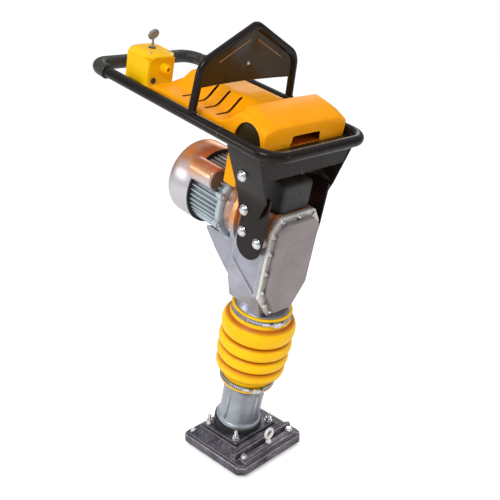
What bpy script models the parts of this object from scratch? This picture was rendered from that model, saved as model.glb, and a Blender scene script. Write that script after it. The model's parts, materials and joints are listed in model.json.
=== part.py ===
"""Jumping jack rammer with an electric motor.

A tamping foot stands on a sprung leg, and the upper machine leans forward over it.  The foot is modelled
level, in world axes, with the origin at the centre of the sole.  Everything above it is modelled in machine
axes: X to the side, Y to the rear, Z up along the leg.  The machine axes are tipped forward by LEAN about X,
at the point AXIS_Y behind the origin.  Units are metres.
"""

import math

import bmesh
import bpy
from mathutils import Matrix, Vector

# Driving dimensions
GAP = 0.0003
LEAN = math.radians(10.5)
AXIS_Y = 0.038

FOOT_WIDTH = 0.250
FOOT_LENGTH = 0.230
SOLE_TOP = 0.034
RIM_DEPTH = 0.006
SHELF = 0.038
BLOCK_TOP = 0.053
PLATFORM_TOP = 0.061
PLATFORM_WIDTH = 0.158
PLATFORM_LENGTH = 0.132
PLATFORM_Y = 0.019

LEG_BOTTOM = 0.082
LEG_TOP = 0.248
LEG_RADIUS = 0.057
CYLINDER_RADIUS = 0.0455
CYLINDER_TOP = 0.455
LOWER_CLAMP_Z = 0.236
UPPER_CLAMP_Z = 0.452

CASE_WIDTH = 0.160
CASE_FRONT = -0.050
CASE_REAR = 0.065
CASE_BOTTOM = 0.470
CASE_TOP = 0.742
CRANK_Z = 0.6105
CRANK_THROW = 0.022
MOTOR_Z = 0.695
MOTOR_RADIUS = 0.093
MOTOR_FRONT = 0.130
MOTOR_REAR = 0.238
COWL_REAR = 0.318
COWL_RADIUS = 0.102

PLATE_X = 0.100
PLATE_THICKNESS = 0.006
PIVOT_Y = 0.020
PIVOT_Z = 0.751
CROSS_TUBE_Z = 0.842

RAIL_Z = 0.920
RAIL_X = 0.165
RAIL_FRONT = -0.070
RAIL_REAR = 0.565
RAIL_RADIUS = 0.014
HOOP_Y = 0.186
HOOP_RADIUS = 0.010
HOOP_APEX = 1.122
HOOP_KNEE = 1.042

COVER_HALF = 0.140
COVER_FRONT = -0.020
COVER_BOTTOM = 0.912
COVER_STEP = 0.335
COVER_REAR = 0.368
COVER_WALL = 0.003

BOX_X = -0.088
BOX_Y = 0.436
BOX_BOTTOM = 0.892
BOX_TOP = 0.982

# Colours as (red, green, blue, roughness, metallic)
COLOURS = {
    "black": (0.020, 0.014, 0.011, 0.25, 0.0),
    "rubber": (0.018, 0.017, 0.016, 0.75, 0.0),
    "yellow": (0.92, 0.40, 0.010, 0.30, 0.0),
    "bellows": (0.95, 0.55, 0.010, 0.45, 0.0),
    "casting": (0.33, 0.35, 0.40, 0.45, 0.7),
    "silver": (0.50, 0.53, 0.56, 0.35, 0.6),
    "steel": (0.62, 0.62, 0.64, 0.25, 1.0),
    "foot": (0.075, 0.070, 0.080, 0.40, 0.6),
    "bronze": (0.55, 0.36, 0.16, 0.35, 1.0),
    "knob": (0.33, 0.32, 0.30, 0.50, 0.0),
}


def clear_scene():
    for obj in list(bpy.data.objects):
        bpy.data.objects.remove(obj)


def material(name):
    found = bpy.data.materials.get(name)
    if found:
        return found
    red, green, blue, roughness, metallic = COLOURS[name]
    made = bpy.data.materials.new(name)
    made.use_nodes = True
    shader = made.node_tree.nodes["Principled BSDF"]
    shader.inputs["Base Color"].default_value = (red, green, blue, 1.0)
    shader.inputs["Roughness"].default_value = roughness
    shader.inputs["Metallic"].default_value = metallic
    return made


class Body:
    """An empty on a body's joint axis, with the pieces that move with it as children."""

    def __init__(self, name, origin, parent=None):
        self.origin = Vector(origin)
        self.empty = bpy.data.objects.new(name, None)
        bpy.context.collection.objects.link(self.empty)
        self.empty.empty_display_size = 0.03
        start = Vector((0, 0, 0))
        if parent:
            self.empty.parent = parent.empty
            start = parent.origin
        self.empty.location = self.origin - start

    def add(self, name, bm, colour, smooth=35):
        """Turns a bmesh in this body's axes into an object with its origin on the body's empty."""
        bmesh.ops.translate(bm, verts=bm.verts, vec=-self.origin)
        bmesh.ops.recalc_face_normals(bm, faces=bm.faces)
        mesh = bpy.data.meshes.new(name)
        bm.to_mesh(mesh)
        bm.free()
        mesh.shade_smooth()
        mesh.set_sharp_from_angle(angle=math.radians(smooth))
        mesh.materials.append(material(colour))
        obj = bpy.data.objects.new(name, mesh)
        bpy.context.collection.objects.link(obj)
        obj.parent = self.empty
        return obj


def boolean(obj, body, bm, operation="DIFFERENCE"):
    """Cuts a bmesh from an object, or unites it with the object, with a hidden wire helper."""
    helper = body.add("helper." + obj.name, bm, "steel")
    helper.hide_render = True
    helper.display_type = "WIRE"
    step = obj.modifiers.new("shape", "BOOLEAN")
    step.operation = operation
    step.solver = "EXACT"
    step.object = helper


def bevel(obj, width, segments=1, angle=40):
    step = obj.modifiers.new("edges", "BEVEL")
    step.width = width
    step.segments = segments
    step.limit_method = "ANGLE"
    step.angle_limit = math.radians(angle)


# Shapes

def block(low, high):
    """A box between two opposite corners."""
    bm = bmesh.new()
    size = Vector(high) - Vector(low)
    place = Matrix.Translation((Vector(high) + Vector(low)) / 2)
    bmesh.ops.create_cube(bm, size=1.0, matrix=place @ Matrix.Diagonal((*size, 1.0)))
    return bm


def prism(outline, axis, low, high):
    """An outline extruded along X, Y or Z.  Its two numbers are the other two axes, in that order."""
    bm = bmesh.new()

    def corner(a, b, along):
        values = [a, b]
        values.insert("xyz".index(axis), along)
        return bm.verts.new(values)

    near = [corner(a, b, low) for a, b in outline]
    far = [corner(a, b, high) for a, b in outline]
    bm.faces.new(near)
    bm.faces.new(reversed(far))
    for i in range(len(outline)):
        j = (i + 1) % len(outline)
        bm.faces.new((near[i], far[i], far[j], near[j]))
    return bm


def turned(profile, centre, axis="z", steps=32):
    """A closed profile of (radius, height) turned about an axis.  A radius of 0 lies on the axis."""
    bm = bmesh.new()
    rings = []
    for radius, height in profile:
        if radius == 0:
            rings.append([bm.verts.new((0, 0, height))])
            continue
        turn = [2 * math.pi * i / steps for i in range(steps)]
        points = [(radius * math.cos(t), radius * math.sin(t), height) for t in turn]
        rings.append([bm.verts.new(point) for point in points])
    for a, b in zip(rings, rings[1:] + rings[:1]):
        for i in range(steps):
            j = (i + 1) % steps
            corners = []
            for v in (a[i % len(a)], a[j % len(a)], b[j % len(b)], b[i % len(b)]):
                if v not in corners:
                    corners.append(v)
            if len(corners) > 2:
                bm.faces.new(corners)
    turn = {
        "z": Matrix.Identity(4),
        "y": Matrix.Rotation(math.radians(-90), 4, "X"),
        "x": Matrix.Rotation(math.radians(90), 4, "Y"),
    }[axis]
    bmesh.ops.transform(bm, verts=bm.verts, matrix=Matrix.Translation(centre) @ turn)
    return bm


def rod(radius, low, high, centre, axis="z", steps=24):
    """A round rod, with low and high measured along the axis from centre."""
    return turned([(0, low), (radius, low), (radius, high), (0, high)], centre, axis, steps)


def ring(inner, outer, low, high, centre, axis="z", steps=32):
    profile = [(inner, low), (outer, low), (outer, high), (inner, high)]
    return turned(profile, centre, axis, steps)


def arc(centre, radius, start, stop, steps):
    """Points on an arc, with angles in degrees."""
    points = []
    for i in range(steps + 1):
        angle = math.radians(start + (stop - start) * i / steps)
        points.append((centre[0] + radius * math.cos(angle), centre[1] + radius * math.sin(angle)))
    return points


def rounded(corners, radii, steps=4, closed=True):
    """A polyline with each corner replaced by an arc of its own radius."""
    points = []
    count = len(corners)
    for i, (corner, radius) in enumerate(zip(corners, radii)):
        here = Vector(corner)
        if radius == 0 or (not closed and i in (0, count - 1)):
            points.append(here)
            continue
        before = (Vector(corners[i - 1]) - here).normalized()
        after = (Vector(corners[(i + 1) % count]) - here).normalized()
        half = before.angle(after) / 2
        reach = radius / math.tan(half)
        centre = here + (before + after).normalized() * radius / math.sin(half)
        start = here + before * reach - centre
        stop = here + after * reach - centre
        for k in range(steps + 1):
            mix = start.slerp(stop, k / steps)
            points.append(centre + mix.normalized() * radius)
    return points


def sweep(path, radius, bore=0.0, closed=False, steps=12):
    """A round bar, or a sleeve with a bore, along a path that lies in one plane."""
    bm = bmesh.new()
    normal = Vector((0, 0, 0))
    for a, b, c in zip(path, path[1:], path[2:]):
        normal += (b - a).cross(c - b)
    normal.normalize()

    def rings(size):
        made = []
        for i, point in enumerate(path):
            before = path[i - 1] if i or closed else path[0]
            after = path[(i + 1) % len(path)] if i < len(path) - 1 or closed else path[-1]
            forward = ((point - before).normalized() + (after - point).normalized()).normalized()
            side = normal.cross(forward)
            turn = [2 * math.pi * k / steps for k in range(steps)]
            spokes = [math.cos(t) * side + math.sin(t) * normal for t in turn]
            made.append([bm.verts.new(point + size * spoke) for spoke in spokes])
        return made

    def skin(made):
        for a, b in zip(made, made[1:] + (made[:1] if closed else [])):
            for k in range(steps):
                n = (k + 1) % steps
                bm.faces.new((a[k], a[n], b[n], b[k]))

    outer = rings(radius)
    skin(outer)
    if bore:
        inner = rings(bore)
        skin(inner)
        for end in (0, -1):
            for k in range(steps):
                n = (k + 1) % steps
                bm.faces.new((outer[end][k], outer[end][n], inner[end][n], inner[end][k]))
    elif not closed:
        bm.faces.new(outer[0])
        bm.faces.new(outer[-1])
    return bm


def rounded_slab(levels, corner, steps=3):
    """A level solid through rounded rectangles, each given as (z, half width, rear y, front y)."""
    bm = bmesh.new()
    loops = []
    for z, half, rear, front in levels:
        corners = [(half, front), (half, rear), (-half, rear), (-half, front)]
        outline = rounded(corners, [corner] * 4, steps)
        loops.append([bm.verts.new((*point, z)) for point in outline])
    for a, b in zip(loops, loops[1:]):
        for i in range(len(a)):
            j = (i + 1) % len(a)
            bm.faces.new((a[i], a[j], b[j], b[i]))
    bm.faces.new(loops[0])
    bm.faces.new(loops[-1])
    return bm


# The foot, in world axes

def foot_extents(inset=0.0):
    rear = FOOT_LENGTH / 2 - inset
    return FOOT_WIDTH / 2 - inset, rear, -rear


def make_sole(body):
    levels = [(0.0, *foot_extents(0.012)), (0.009, *foot_extents()), (SOLE_TOP, *foot_extents())]
    sole = body.add("sole_plate", rounded_slab(levels, 0.016), "foot")
    rim_half, rim_rear, rim_front = foot_extents(0.005)
    recess = [(z, rim_half, rim_rear, rim_front) for z in (SOLE_TOP - RIM_DEPTH, SOLE_TOP + 0.01)]
    boolean(sole, body, rounded_slab(recess, 0.012))


def make_shoe_block(body):
    base = SOLE_TOP - RIM_DEPTH + GAP
    half, rear, front = foot_extents(0.006)
    platform_rear = PLATFORM_Y + PLATFORM_LENGTH / 2
    platform_front = PLATFORM_Y - PLATFORM_LENGTH / 2
    levels = [
        (base, half, rear, front),
        (SHELF, half, rear, front),
        (SHELF + 0.0001, half - 0.002, rear - 0.002, platform_front - 0.031),
        (BLOCK_TOP, PLATFORM_WIDTH / 2 + 0.004, platform_rear + 0.004, platform_front - 0.004),
    ]
    shoe = body.add("shoe_block", rounded_slab(levels, 0.010), "foot")
    toe = platform_front - 0.026
    ridge = [(toe - 0.006, SHELF - 0.004), (toe, BLOCK_TOP + 0.003), (toe + 0.016, BLOCK_TOP - 0.004),
             (toe + 0.016, SHELF - 0.004)]
    boolean(shoe, body, prism(ridge, "x", -half + 0.006, half - 0.006), "UNION")


def make_platform(body):
    half, front = PLATFORM_WIDTH / 2, PLATFORM_Y - PLATFORM_LENGTH / 2
    rear = PLATFORM_Y + PLATFORM_LENGTH / 2
    bm = block((-half, front, BLOCK_TOP + GAP), (half, rear, PLATFORM_TOP))
    bevel(body.add("shoe_platform", bm, "foot"), 0.0015)


def make_toe_strap(body):
    front = -FOOT_LENGTH / 2 + 0.010
    low, step, top = SHELF + GAP, SHELF + 0.004, SHELF + 0.008
    outline = [(front, low), (front, step), (front + 0.008, step), (front + 0.008, top), (front + 0.024, top),
               (front + 0.024, low)]
    body.add("toe_strap", prism(outline, "x", -0.104, 0.104), "foot")
    head = [(0, 0), (0.009, 0), (0.009, 0.0035), (0.0063, 0.0063), (0, 0.007)]
    for side, x in (("left", 0.090), ("right", -0.090)):
        body.add("toe_bolt_" + side, turned(head, (x, front + 0.016, top + GAP), steps=12), "steel")
    make_eye_bolt(body, (0.006, front + 0.016, top + GAP))


def make_eye_bolt(body, seat):
    tube, size = 0.0035, 0.0125
    centre = Vector(seat) + Vector((0, 0, 0.030))
    turn = [2 * math.pi * i / 20 for i in range(20)]
    loop = [centre + Vector((size * math.cos(t), 0, size * math.sin(t))) for t in turn]
    eye = body.add("eye_bolt", sweep(loop, tube, closed=True, steps=8), "steel")
    shank = [(0, 0), (0.008, 0), (0.008, 0.004), (0.0045, 0.006), (0.0045, 0.018), (0, 0.018)]
    boolean(eye, body, turned(shank, seat, steps=12), "UNION")


def make_studs(body):
    reach_x = PLATFORM_WIDTH / 2 - 0.014
    reach_y = PLATFORM_LENGTH / 2 - 0.014
    profile = [(0, 0), (0.011, 0), (0.011, 0.0025), (0.0095, 0.0026), (0.0095, 0.0115), (0.0055, 0.012),
               (0.0055, 0.026), (0, 0.027)]
    for end, y in (("front_", -1), ("rear_", 1)):
        for side, x in (("right", -1), ("left", 1)):
            place = (x * reach_x, PLATFORM_Y + y * reach_y, PLATFORM_TOP + GAP)
            body.add("stud_nut_" + end + side, turned(profile, place, steps=12), "steel")


# The leg and its springs, in machine axes

def make_leg(body):
    outer = [(0, LEG_BOTTOM), (0.062, LEG_BOTTOM), (0.062, LEG_BOTTOM + 0.012),
             (LEG_RADIUS, LEG_BOTTOM + 0.024), (LEG_RADIUS - 0.001, 0.165), (LEG_RADIUS + 0.001, 0.214),
             (0.066, 0.220), (0.066, LEG_TOP)]
    bore = [(CYLINDER_RADIUS + GAP, LEG_TOP), (CYLINDER_RADIUS + GAP, 0.100), (0, 0.100)]
    body.add("ram_leg", turned(outer + bore, (0, 0, 0), steps=40), "casting")
    # A collar turned about the leg, with its underside cut level so that it stands on the platform.
    collar = body.add("leg_collar", rod(0.066, 0.045, LEG_BOTTOM - GAP, (0, 0, 0), steps=40), "rubber")
    underside = block((-0.2, -0.2, -0.1), (0.2, 0.2, 0))
    level = Matrix.Translation((0, 0, (PLATFORM_TOP + GAP) / math.cos(LEAN))) @ Matrix.Rotation(-LEAN, 4, "X")
    bmesh.ops.transform(underside, verts=underside.verts, matrix=level)
    boolean(collar, body, underside)


def make_spring_cylinder(body):
    wall = CYLINDER_RADIUS - 0.006
    profile = [(wall, 0.100 + GAP), (CYLINDER_RADIUS, 0.100 + GAP), (CYLINDER_RADIUS, CYLINDER_TOP),
               (0.020, CYLINDER_TOP), (0.020, CYLINDER_TOP - 0.010), (wall, CYLINDER_TOP - 0.010)]
    body.add("spring_cylinder", turned(profile, (0, 0, 0)), "steel")


def make_spring(body, name, low, high):
    wire, mean, turns, per_turn = 0.0035, 0.031, 4, 11
    count = turns * per_turn
    path = []
    for i in range(count + 1):
        angle = 2 * math.pi * i / per_turn
        rise = low + wire + (high - low - 2 * wire) * i / count
        path.append(Vector((mean * math.cos(angle), mean * math.sin(angle), rise)))
    body.add(name, sweep(path, wire, steps=5), "steel")


def make_piston(body):
    profile = [(0, 0.252), (0.0385, 0.252), (0.0385, 0.274), (0.012, 0.276), (0.012, 0.425), (0, 0.430)]
    body.add("piston_rod", turned(profile, (0, 0, 0), steps=24), "steel")


def make_bellows(body):
    neck, wall, end = 0.0725, 0.0045, 0.010
    low, high = LOWER_CLAMP_Z - 0.014, UPPER_CLAMP_Z + 0.010
    folds = [(0.279, 0.018, 0.092), (0.317, 0.019, 0.096), (0.357, 0.020, 0.098), (0.405, 0.026, 0.098)]
    valley = 0.083
    outer = [(neck, low), (neck, LOWER_CLAMP_Z + end)]
    for centre, half, radius in folds:
        outer += [(valley, centre - half), (radius - 0.003, centre - half * 0.6), (radius, centre)]
        outer += [(radius - 0.003, centre + half * 0.6)]
    outer += [(valley, 0.436), (0.0765, UPPER_CLAMP_Z - end), (0.0765, high)]
    straight = valley - wall
    inner = [(0.0765 - wall, high), (0.0765 - wall, 0.442), (straight, 0.432), (straight, 0.268),
             (neck - wall, 0.252), (neck - wall, low)]
    body.add("bellows", turned(outer + inner, (0, 0, 0), steps=28), "bellows")


def make_clamp(body, name, radius, height):
    hoop = ring(radius, radius + 0.0025, height - 0.006, height + 0.006, (0, 0, 0), steps=28)
    band = body.add(name, hoop, "steel")
    screw = rod(0.005, -0.016, 0.016, (0.0, -radius - 0.005, height), "x", 10)
    boolean(band, body, screw, "UNION")


# The crankcase and the motor

def case_outline(grow=0.0, waist=0.45):
    """The casting seen from the front, as (x, z): chamfered shoulders above, narrowing to its waist below."""
    half = CASE_WIDTH / 2 + grow
    top = CASE_TOP + grow
    bottom = CASE_BOTTOM - grow
    right = [(half * waist, bottom), (half, 0.535 - grow), (half, CASE_TOP - 0.032), (half - 0.026, top)]
    left = [(-x, z) for x, z in reversed(right)]
    return right + left


def make_crankcase(body):
    case = body.add("crankcase", prism(case_outline(0, 0.75), "y", CASE_FRONT, CASE_REAR), "casting")
    flange = prism(case_outline(0.005), "y", CASE_FRONT, CASE_FRONT + 0.011)
    boolean(case, body, flange, "UNION")
    shelf = CASE_BOTTOM - 0.0055
    neck = [(0, 0.395), (0.0565, 0.395), (0.0565, 0.441), (0.0715, 0.441), (0.0715, shelf), (0.060, 0.500),
            (0, 0.500)]
    boolean(case, body, turned(neck, (0, 0, 0), steps=40), "UNION")
    boolean(case, body, block((-0.1, -0.1, shelf - 0.0002), (0.1, CASE_FRONT, 0.52)))
    for side in (-1, 1):
        for y, z in plate_bolt_places():
            bosses = rod(0.014, 0, PLATE_X - GAP - 0.075, (side * 0.075, y, z), "x", 20)
            if side < 0:
                mirror = Matrix.Translation((0.075, 0, 0))
                bmesh.ops.scale(bosses, vec=(-1, 1, 1), space=mirror, verts=bosses.verts)
            boolean(case, body, bosses, "UNION")
    cavity = prism(case_outline(-0.007), "y", CASE_FRONT - 0.01, CASE_REAR - 0.009)
    boolean(case, body, cavity)
    boolean(case, body, rod(CYLINDER_RADIUS + 0.0006, 0.38, 0.520, (0, 0, 0), steps=40))
    boolean(case, body, rod(0.019, 0.04, 0.08, (0, 0, MOTOR_Z), "y"))
    boolean(case, body, rod(0.0145, 0.04, 0.08, (0, 0, CRANK_Z), "y"))
    for side in (-1, 1):
        for y, z in plate_bolt_places():
            boolean(case, body, rod(0.0053, -0.012, 0.012, (side * (PLATE_X - 0.010), y, z), "x", 12))


def make_front_cover(body):
    seam = CASE_FRONT - GAP
    cover = body.add("front_cover", prism(case_outline(0.005), "y", seam - 0.008, seam), "casting")
    raised = prism(case_outline(-0.009), "y", seam - 0.014, seam - 0.004)
    boolean(cover, body, raised, "UNION")
    boolean(cover, body, rod(0.026, 0, 0.012, (0, seam - 0.002, CRANK_Z), "y"), "UNION")


def make_gear_housing(body):
    start = CASE_REAR + GAP
    profile = [(0.019, start), (0.096, start), (0.096, start + 0.014), (0.084, start + 0.018), (0.084, 0.112),
               (0.019, 0.112)]
    housing = body.add("gear_housing", turned(profile, (0, 0, MOTOR_Z), "y", 40), "casting")
    cradle = [(start, 0.660), (0.186, 0.612), (0.196, 0.612), (0.192, 0.592), (0.150, 0.556), (start, 0.492)]
    boolean(housing, body, prism(cradle, "x", -0.046, 0.046), "UNION")
    boolean(housing, body, rod(MOTOR_RADIUS + 0.005, 0.112, 0.30, (0, 0, MOTOR_Z), "y", 40))


def fin_outline(count=44):
    """A circle with radial fins, as (x, z) round the motor's axis."""
    points = []
    for i in range(count):
        turn = 2 * math.pi / count
        start = i * turn
        root = MOTOR_RADIUS - 0.009
        for share, radius in ((0.0, MOTOR_RADIUS), (0.30, MOTOR_RADIUS), (0.42, root), (0.88, root)):
            angle = start + share * turn
            points.append((radius * math.cos(angle), MOTOR_Z + radius * math.sin(angle)))
    return points


def make_motor(body):
    shield = [(0.014, 0.1123), (0.080, 0.1123), (0.096, 0.118), (0.096, MOTOR_FRONT - GAP),
              (0.014, MOTOR_FRONT - GAP)]
    body.add("motor_end_shield", turned(shield, (0, 0, MOTOR_Z), "y", 40), "silver")
    frame = body.add("motor_frame", prism(fin_outline(), "y", MOTOR_FRONT, MOTOR_REAR), "silver", 20)
    boolean(frame, body, rod(0.076, MOTOR_FRONT - 0.01, MOTOR_REAR + 0.01, (0, 0, MOTOR_Z), "y", 32))
    body.add("motor_stator", ring(0.046, 0.076 - GAP, 0.145, 0.222, (0, 0, MOTOR_Z), "y"), "steel")
    inner = COWL_RADIUS - 0.003
    cowl = [(inner, 0.229), (COWL_RADIUS, 0.229), (COWL_RADIUS, 0.288), (COWL_RADIUS - 0.008, 0.306),
            (COWL_RADIUS - 0.024, 0.315), (0.030, COWL_REAR), (0.0, COWL_REAR), (0.0, COWL_REAR - 0.003),
            (0.030, COWL_REAR - 0.003), (COWL_RADIUS - 0.025, 0.312), (inner - 0.007, 0.303), (inner, 0.287)]
    body.add("fan_cowl", turned(cowl, (0, 0, MOTOR_Z), "y", 40), "silver")


def make_capacitor_cover(body):
    centre = (-0.080, 0, 0.762)
    profile = [(0, 0.150), (0.027, 0.150), (0.031, 0.154), (0.031, 0.226), (0, 0.226)]
    cover = body.add("capacitor_cover", turned(profile, centre, "y", 28), "silver")
    boolean(cover, body, rod(MOTOR_RADIUS + GAP, 0.10, 0.30, (0, 0, MOTOR_Z), "y", 64))


def make_terminal_box(body):
    low, high, middle = 0.088, 0.128, 0.842
    outline = [(low, 0.77), (high, 0.77)] + arc(((low + high) / 2, middle), (high - low) / 2, 0, 180, 10)
    box = body.add("terminal_box", prism(outline, "x", -0.088, -0.020), "yellow")
    boolean(box, body, rod(0.0965, 0.05, 0.15, (0, 0, MOTOR_Z), "y", 64))


def make_rotor(body):
    profile = [(0, 0.030), (0.016, 0.030), (0.016, 0.054), (0.012, 0.055), (0.012, 0.147), (0.0445, 0.148),
               (0.0445, 0.219), (0.012, 0.220), (0.009, 0.272), (0, 0.272)]
    body.add("rotor_shaft", turned(profile, (0, 0, MOTOR_Z), "y", 24), "steel")
    fan = [(0.0125, 0.250), (0.080, 0.254), (0.080, 0.258), (0.024, 0.260), (0.020, 0.274), (0.0125, 0.274)]
    body.add("cooling_fan", turned(fan, (0, 0, MOTOR_Z), "y", 24), "rubber")


def make_crank(body):
    profile = [(0, 0.030), (0.066, 0.030), (0.068, 0.032), (0.068, 0.050), (0.066, 0.052), (0.014, 0.0525),
               (0.014, 0.0640), (0, 0.0640)]
    gear = body.add("crank_gear", turned(profile, (0, 0, CRANK_Z), "y", 48), "steel")
    pin = rod(0.009, -0.002, 0.034, (0, 0, CRANK_Z + CRANK_THROW), "y", 20)
    boolean(gear, body, pin, "UNION")


def make_connecting_rod(body):
    top = CRANK_Z + CRANK_THROW
    length = 0.115
    link = body.add("connecting_rod", rod(0.019, 0.004, 0.026, (0, 0, top), "y", 24), "steel")
    boolean(link, body, block((-0.008, 0.008, top - length), (0.008, 0.022, top - 0.012)), "UNION")
    boolean(link, body, rod(0.013, 0.004, 0.026, (0, 0, top - length), "y", 24), "UNION")
    boolean(link, body, rod(0.0095, -0.01, 0.04, (0, 0, top), "y", 24))
    boolean(link, body, rod(0.006, -0.01, 0.04, (0, 0, top - length), "y", 16))


def plate_bolt_places():
    return [(0.024, 0.690), (-0.027, 0.681)]


def lower_plate_outline():
    """(y, z) of a lower side plate: straight sides, a round lower end."""
    rear, front = [(0.036, 0.800), (0.038, 0.668)], [(-0.042, 0.690), (-0.042, 0.800)]
    return rear + arc((-0.001, 0.668), 0.039, -10, -170, 12) + front


def make_lower_plates(body):
    for name, side in (("left", 1), ("right", -1)):
        inner, outer = side * PLATE_X, side * (PLATE_X + PLATE_THICKNESS)
        bm = prism(lower_plate_outline(), "x", min(inner, outer), max(inner, outer))
        plate = body.add("lower_plate_" + name, bm, "black")
        for y, z in plate_bolt_places() + [(PIVOT_Y, PIVOT_Z)]:
            boolean(plate, body, rod(0.0053, -0.02, 0.02, (inner, y, z), "x", 12))
        seat = PLATE_X + PLATE_THICKNESS + GAP
        for spot, (y, z) in zip(("_rear", "_front"), plate_bolt_places()):
            body.add("plate_bolt_" + name + spot, side_bolt(side, seat, y, z), "steel")


def side_bolt(side, seat, y, z, shank=0.016, head=0.0115):
    """A domed bolt driven in from the side, with its shank towards the middle of the machine."""
    profile = [(0, -shank), (0.005, -shank), (0.005, 0), (head, 0), (head, 0.003), (head * 0.72, 0.0065),
               (0, 0.008)]
    bm = turned(profile, (0, 0, 0), "x", 16)
    place = Matrix.Translation((side * seat, y, z)) @ Matrix.Diagonal((side, 1, 1, 1))
    bmesh.ops.transform(bm, verts=bm.verts, matrix=place)
    return bm


def make_shock_block(body):
    bm = block((-0.050, -0.036, CASE_TOP + GAP), (0.050, 0.044, 0.822))
    bevel(body.add("shock_block", bm, "rubber"), 0.006, 2)


# The handle, which rocks on the pivot bolts

def plate_x(z):
    """How far out an upper side plate's inner face lies: upright below, splayed out to the rail above."""
    foot_x = PLATE_X + 2 * PLATE_THICKNESS
    share = min(max((z - 0.790) / (RAIL_Z - RAIL_RADIUS - 0.790), 0), 1)
    return foot_x + share * (RAIL_X - PLATE_THICKNESS / 2 - foot_x)


def make_upper_plates(body):
    top = RAIL_Z - RAIL_RADIUS - 0.0006
    rear, front = [(0.063, top), (0.054, 0.790)], [(-0.040, 0.790), (-0.043, top)]
    outline = rear + arc((0.006, 0.772), 0.038, 10, -190, 12) + front
    for name, side in (("left", 1), ("right", -1)):
        bm = prism(outline, "x", 0.0, PLATE_THICKNESS)
        for height in (0.790, 0.850):
            everything = bm.verts[:] + bm.edges[:] + bm.faces[:]
            bmesh.ops.bisect_plane(bm, geom=everything, plane_co=(0, 0, height), plane_no=(0, 0, 1))
        for vert in bm.verts:
            vert.co.x = side * (vert.co.x + plate_x(vert.co.z))
        plate = body.add("upper_plate_" + name, bm, "black")
        for height in (PIVOT_Z, CROSS_TUBE_Z):
            boolean(plate, body, rod(0.0053, -0.03, 0.03, (side * plate_x(height), PIVOT_Y, height), "x", 12))
        seat = plate_x(PIVOT_Z) + PLATE_THICKNESS + GAP
        body.add("pivot_bolt_" + name, side_bolt(side, seat, PIVOT_Y, PIVOT_Z, shank=0.022), "steel")
        slope = (plate_x(CROSS_TUBE_Z + 0.012) - plate_x(CROSS_TUBE_Z)) + GAP
        seat = plate_x(CROSS_TUBE_Z) + PLATE_THICKNESS + slope
        body.add("tube_bolt_" + name, side_bolt(side, seat, PIVOT_Y, CROSS_TUBE_Z, shank=0.026), "steel")


def make_cross_tube(body):
    reach = plate_x(CROSS_TUBE_Z - 0.014) - 0.0012
    bm = ring(0.0055, 0.014, -reach, reach, (0, PIVOT_Y, CROSS_TUBE_Z), "x", 20)
    body.add("cross_tube", bm, "black")


def make_front_brace(body):
    low, high = 0.850, RAIL_Z - RAIL_RADIUS - 0.001
    near, far = plate_x(low) - 0.001, plate_x(high) - 0.001
    outline = [(-near, low), (near, low), (far, high), (-far, high)]
    body.add("front_brace", prism(outline, "y", -0.041, -0.036), "black")


def handle_path():
    corners = [(RAIL_X, RAIL_FRONT, RAIL_Z), (RAIL_X, RAIL_REAR, RAIL_Z), (-RAIL_X, RAIL_REAR, RAIL_Z),
               (-RAIL_X, RAIL_FRONT, RAIL_Z)]
    return rounded(corners, [0.048, 0.042, 0.042, 0.048], 5)


def make_handle_frame(body):
    body.add("handle_frame", sweep(handle_path(), RAIL_RADIUS, closed=True, steps=14), "black", 50)


def make_grip(body):
    start = RAIL_REAR - 0.062
    corners = [(RAIL_X, start, RAIL_Z), (RAIL_X, RAIL_REAR, RAIL_Z), (-RAIL_X, RAIL_REAR, RAIL_Z),
               (-RAIL_X, start, RAIL_Z)]
    path = rounded(corners, [0, 0.042, 0.042, 0], 5, closed=False)
    body.add("grip_sleeve", sweep(path, RAIL_RADIUS + 0.0045, RAIL_RADIUS + 0.0009, steps=14), "rubber", 50)


def hoop_path(inset=0.0):
    foot_z = RAIL_Z + RAIL_RADIUS * 0.93 + inset
    knee = RAIL_X - 0.010
    pitch = math.atan2(HOOP_APEX - HOOP_KNEE, knee)
    knee -= inset
    knee_z = HOOP_KNEE - inset * (1 / math.cos(pitch) - math.tan(pitch))
    apex_z = HOOP_APEX - inset / math.cos(pitch)
    corners = [(RAIL_X - inset, HOOP_Y, foot_z), (knee, HOOP_Y, knee_z), (0, HOOP_Y, apex_z),
               (-knee, HOOP_Y, knee_z), (inset - RAIL_X, HOOP_Y, foot_z)]
    return rounded(corners, [0, 0.045, 0.020, 0.045, 0], 6, closed=False)


def make_hoop(body):
    hoop = body.add("hoop", sweep(hoop_path(), HOOP_RADIUS, steps=14), "black", 50)
    for side in (-1, 1):
        boolean(hoop, body, rod(RAIL_RADIUS + GAP, -0.05, 0.05, (side * RAIL_X, HOOP_Y, RAIL_Z), "y", 32))


# Along the cover: (y, height at the edge, rise to the middle, how far it is a block rather than a low hump)
COVER_SECTIONS = [
    (COVER_FRONT, 0.9535, 0.004, 1.0), (-0.010, 0.9605, 0.006, 1.0), (0.030, 0.9765, 0.010, 1.0),
    (0.062, 0.9775, 0.0095, 1.0), (0.080, 0.968, 0.012, 0.8), (0.104, 0.943, 0.026, 0.25),
    (0.124, 0.9345, 0.034, 0.0), (0.186, 0.9342, 0.035, 0.0), (COVER_STEP, 0.9335, 0.037, 0.0),
    (COVER_STEP + 0.012, 0.932, 0.016, 0.0), (COVER_REAR, 0.930, 0.008, 0.0)]


def cover_rise(x, blockness):
    """Share of the rise at x: a smooth hump over the middle, or a flat block top with chamfered sides."""
    hump = min(max((0.090 - abs(x)) / 0.055, 0), 1)
    hump = hump * hump * (3 - 2 * hump)
    block_top = min(max((COVER_HALF - 0.010 - abs(x)) / 0.019, 0), 1)
    return hump + blockness * (block_top - hump)


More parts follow.
